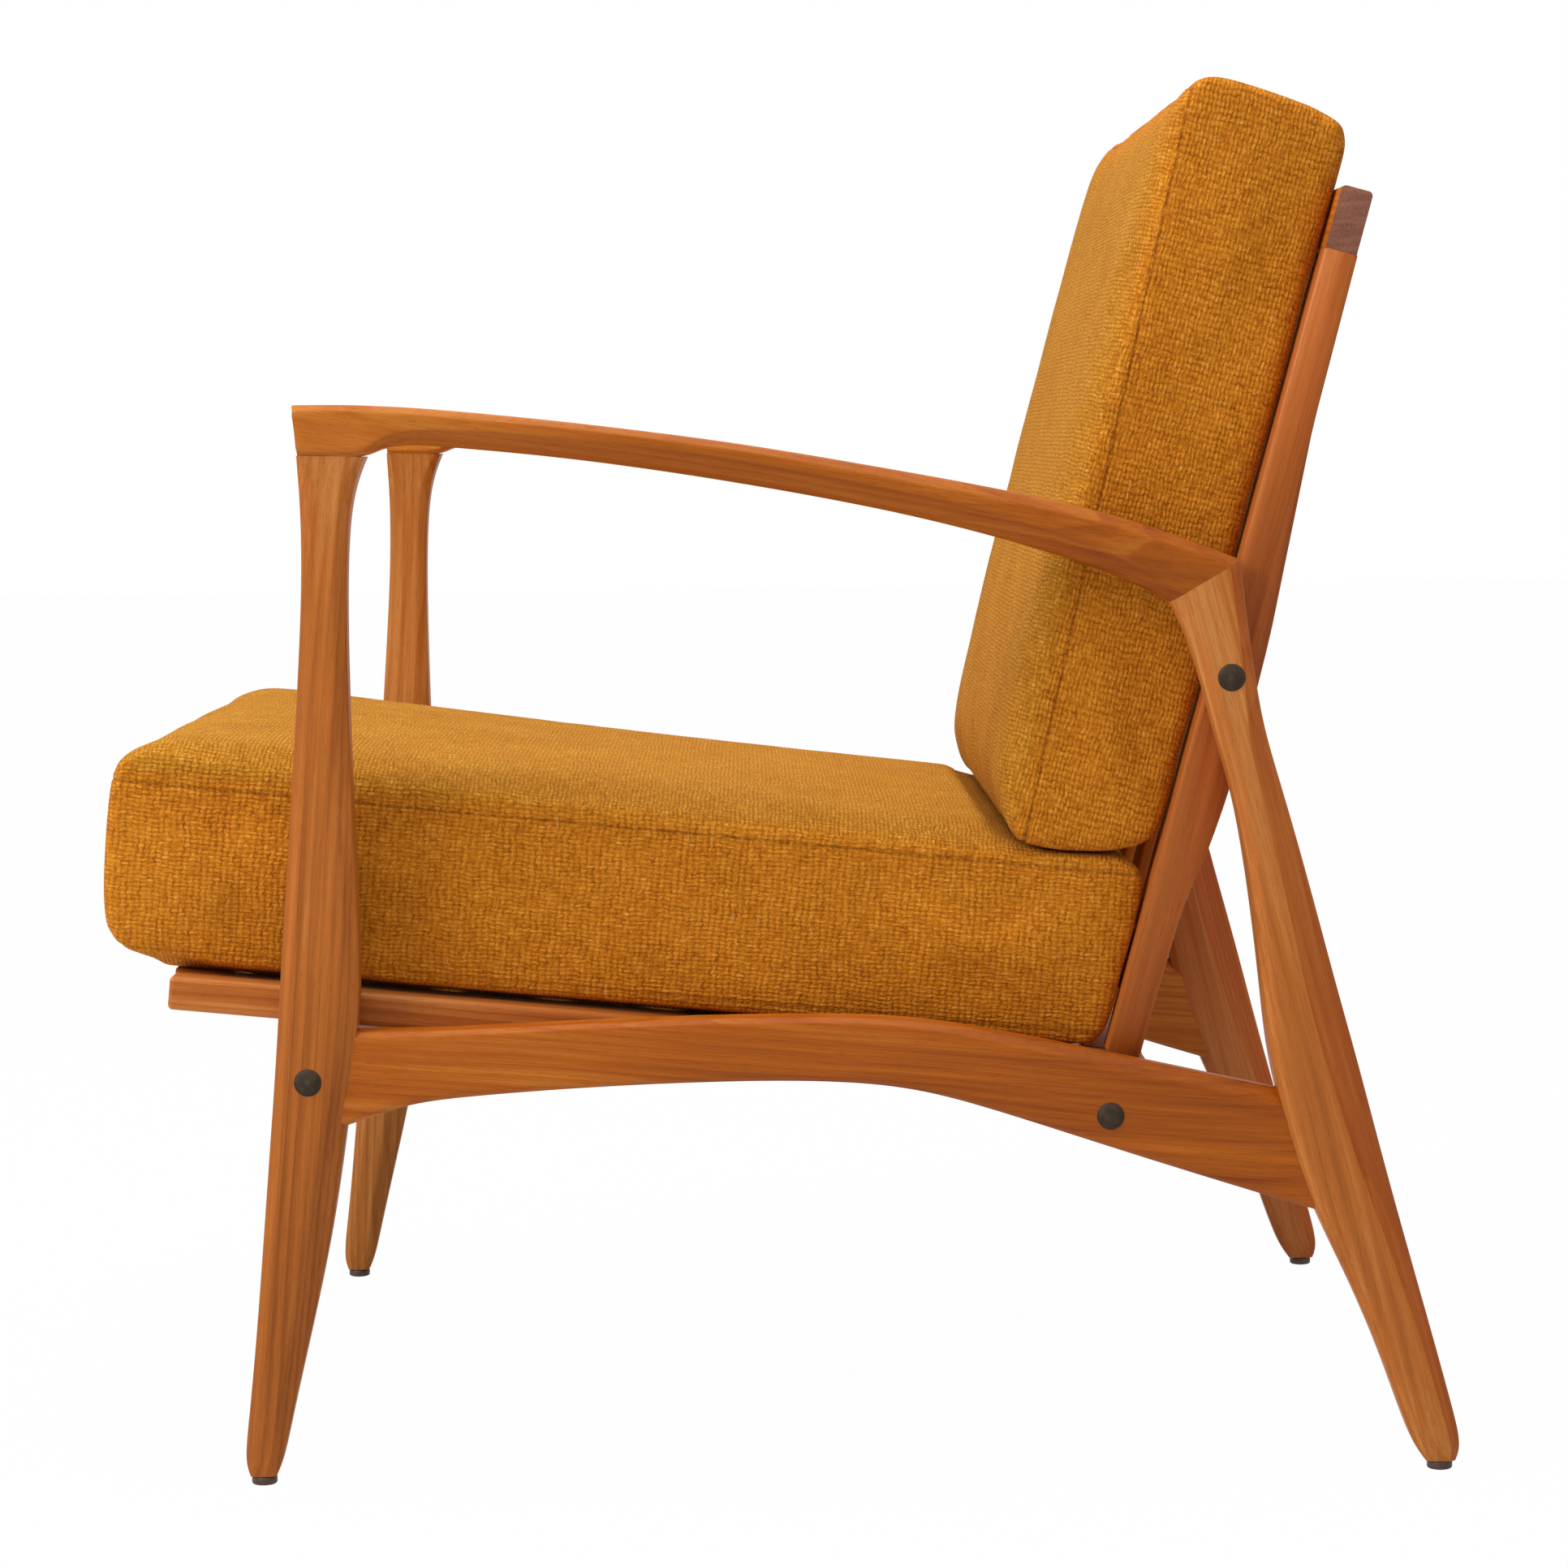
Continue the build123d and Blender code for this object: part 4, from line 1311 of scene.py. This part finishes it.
    def build(self, cloth: Weave, foam: Plain) -> list[bpy.types.Object]:
        """Make the cushion's foam and cover, and put them on the chair.

        Args:
            cloth: the cover's finish.
            foam: the filling's finish.

        Returns:
            The cover and the foam.
        """
        core = self.blank(self.name + "_foam", -self.foam_inset)
        cover = self.blank(self.name, self.ease)
        self.fill_up(cover)
        applied(cover, "Even cover", "SMOOTH", factor=0.5, iterations=3)
        self.rest(cover)
        applied(cover, "Smooth", "SUBSURF", levels=1, render_levels=1)
        self.sew(cover)
        self.mapped(cover)
        for piece, finish, node, slot in (
            (cover, cloth, self.nodes[0], "upholstery"),
            (core, foam, self.nodes[1], "foam"),
        ):
            only(piece)
            piece.matrix_world = self.place() @ piece.matrix_world
            bpy.ops.object.transform_apply(location=True, rotation=True, scale=True)
            bpy.ops.object.shade_smooth()
            piece.data.materials.clear()
            piece.data.materials.append(finish.material())
            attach(piece, self.body)
            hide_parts(node)
        return [cover, core]


def seat_cushion(feet_y: float) -> Cushion:
    """The seat cushion, on the seat frame's slope."""
    return Cushion(
        name="seat_cushion",
        body="seat_cushion",
        nodes=("seat_cushion_cover", "seat_cushion_core"),
        profile=[
            (-2, 7, Panel.REST),
            (-20, 10.5, Panel.REST),
            (-35.5, 14, Panel.FRONT),
            (-43, 23.5, Panel.FRONT),
            (-45.5, 46, Panel.FRONT),
            (-46, 75, Panel.FRONT),
            (-46, 100, Panel.FRONT),
            (-45, 119, Panel.FRONT),
            (-41, 129.5, Panel.CROWN),
            (-26, 133, Panel.CROWN),
            (30, 131, Panel.CROWN),
            (120, 127.5, Panel.CROWN),
            (260, 122.5, Panel.CROWN),
            (460, 119, Panel.CROWN),
            (535, 118.5, Panel.CROWN),
            (564, 118, Panel.CROWN),
            (573, 109, Panel.END),
            (571, 95, Panel.END),
            (566, 60, Panel.END),
            (560, 20, Panel.END),
            (556, 3, Panel.REST),
            (540, 0.6, Panel.REST),
            (260, 0.6, Panel.REST),
            (20, 3.0, Panel.REST),
        ],
        crown=7.0,
        seams=[Seam((-45, 111), (560, 107.5), 0.6, 0.9), Seam((-45, 13), (560, 11), 0.5, 0.3)],
        foot=Vector((0.0, feet_y - 399 * MM, 300 * MM)),
        turn=-SEAT_SLOPE,
        fill=0.85,
        ceiling=[(480, 122.5), (492, 119.6), (502, 117.4), (524, 116.7), (547, 117.9), (568, 123.9)],
        wall=[(0, 553.8), (130, 576)],
        sag=4.0,
        hollow=(256.0, 40.0, 541.0),
        rim=4.0,
    )


def back_cushion(feet_y: float) -> Cushion:
    """The back cushion, leaning on the back frame. Its own Z points forward from the stiles."""
    return Cushion(
        name="back_cushion",
        body="back_cushion",
        nodes=("back_cushion_cover", "back_cushion_core"),
        profile=[
            (130, 1, Panel.REST),
            (121, 8, Panel.END),
            (111.5, 28, Panel.END),
            (106.5, 50, Panel.END),
            (103.5, 72, Panel.END),
            (104, 83, Panel.END),
            (109, 90, Panel.CROWN),
            (119, 94.5, Panel.CROWN),
            (140, 97.5, Panel.CROWN),
            (220, 100.5, Panel.CROWN),
            (335, 102.5, Panel.CROWN),
            (480, 102.5, Panel.CROWN),
            (545, 101.5, Panel.CROWN),
            (565, 99, Panel.CROWN),
            (570, 90, Panel.END),
            (569.5, 72, Panel.END),
            (568, 45, Panel.END),
            (565.5, 20, Panel.END),
            (562, 3, Panel.END),
            (552, 0.6, Panel.REST),
            (335, 0.6, Panel.REST),
            (200, 0.6, Panel.REST),
        ],
        crown=4.5,
        seams=[Seam((110, 78), (545, 97), 0.6)],
        foot=Vector((0.0, feet_y + 154.2 * MM, 248.6 * MM)),
        turn=BACK_LEAN,
        fill=0.8,
    )


# ---- the studio ----
WHITE = linear(255, 255, 255)


@dataclass(frozen=True)
class Lamp:
    """One soft round lamp that shines at the chair."""

    name: str
    place: Triple
    size: float
    power: float                            # in watts


@dataclass
class Studio:
    """The floor, the light and the camera. Angles are in degrees and places in metres."""

    camera_place: Vector = field(default_factory=lambda: Vector((2.79082, -0.02058, 0.60868)))
    yaw: float = 0.5424
    pitch: float = 4.5864
    roll: float = -0.6298
    lens: float = 97.83
    sensor: float = 36.0
    floor_size: float = 30.0
    floor_drop: float = 0.3 * MM            # play between the feet and the floor
    floor_tone: float = 0.74                # how bright the floor is where the shadow falls
    floor_white: float = 0.985              # how much of the plain white covers it
    sky: float = 0.42                       # how strongly the surroundings light the chair
    white_level: float = 1.0                # how white the backdrop looks
    middle: Triple = (0.0, 0.0, 0.4)        # where the lamps shine
    lamps: tuple[Lamp, ...] = (
        Lamp("key", (2.0, -3.3, 2.8), 2.4, 122.0),
        Lamp("top", (0.4, 0.0, 3.6), 2.6, 84.0),
    )

    def camera(self) -> None:
        """Set the camera beside the chair."""
        yaw, pitch, roll = (math.radians(angle) for angle in (self.yaw, self.pitch, self.roll))
        level = Vector((-math.cos(yaw), math.sin(yaw), 0.0))
        forward = level * math.cos(pitch) - Vector((0.0, 0.0, math.sin(pitch)))
        right = Vector((math.sin(yaw), math.cos(yaw), 0.0))
        up = right.cross(forward)
        rolled_right = right * math.cos(roll) + up * math.sin(roll)
        rolled_up = up * math.cos(roll) - right * math.sin(roll)
        turn = Matrix((rolled_right, rolled_up, -forward)).transposed()
        bpy.ops.object.camera_add(location=self.camera_place, rotation=turn.to_euler())
        camera = bpy.context.object
        camera.name = "camera"
        camera.data.lens = self.lens
        camera.data.sensor_width = self.sensor
        bpy.context.scene.camera = camera

    def hang(self, lamp: Lamp) -> None:
        """Hang one lamp, turned to the chair."""
        aim = Vector(self.middle) - Vector(lamp.place)
        turn = aim.to_track_quat("-Z", "Y").to_euler()
        bpy.ops.object.light_add(type="AREA", location=lamp.place, rotation=turn)
        light = bpy.context.object
        light.name = lamp.name
        light.data.shape = "DISK"
        light.data.size = lamp.size
        light.data.energy = lamp.power

    def seen(self, shader: Shader) -> Value:
        """1 for rays that see the white itself, its reflection or it through glass."""
        kinds = ("Is Camera Ray", "Is Glossy Ray", "Is Transmission Ray")
        return shader.highest(*(shader.node("ShaderNodeLightPath", out=kind) for kind in kinds))

    def floor(self) -> None:
        """Lay a white floor that keeps a faint shadow."""
        bpy.ops.mesh.primitive_plane_add(size=self.floor_size, location=(0.0, 0.0, -self.floor_drop))
        floor = bpy.context.object
        floor.name = "floor"
        shader = Shader(bpy.data.materials.new("floor_white"))
        grey = (self.floor_tone, self.floor_tone, self.floor_tone, 1.0)
        plain = shader.node("ShaderNodeBsdfDiffuse", None, {"Color": grey})
        glow = shader.node("ShaderNodeEmission", None, {"Color": WHITE, "Strength": 1.0})
        share = self.seen(shader) * self.floor_white
        mixed = shader.node("ShaderNodeMixShader", None, {0: share, 1: plain, 2: glow})
        floor.data.materials.append(shader.ended(mixed))

    def world(self) -> None:
        """Light the studio evenly all round, against white."""
        shader = Shader(bpy.data.worlds.new("studio"))
        levels = {0: self.seen(shader), 2: self.sky, 3: self.white_level}
        level = shader.node("ShaderNodeMix", None, levels)
        light = shader.node("ShaderNodeBackground", None, {"Color": WHITE, "Strength": level})
        bpy.context.scene.world = shader.ended(light)

    def build(self) -> None:
        """Set up everything round the chair."""
        self.camera()
        self.floor()
        self.world()
        for lamp in self.lamps:
            self.hang(lamp)
        bpy.context.scene.view_settings.view_transform = "Standard"


def main() -> None:
    """Build the chair around its frame."""
    logging.basicConfig(level=logging.INFO, format="%(name)s: %(message)s")
    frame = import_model()
    arm_front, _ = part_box("left_armrest")
    feet_y = arm_front.y + FEET_BEHIND_ARM_MM * MM
    pieces = SideFrames().build(feet_y) + Joinery(frame["nodes"]).build()
    cloth = Weave("golden_basket_weave")
    foam = Plain("cushion_foam", linear(226, 205, 150), linear(214, 190, 132), 0.9)
    for cushion in (seat_cushion(feet_y), back_cushion(feet_y)):
        pieces += cushion.build(cloth, foam)
    for piece in pieces:
        LOG.info("built %s", piece.name)
    Studio().build()


if __name__ == "__main__":
    main()
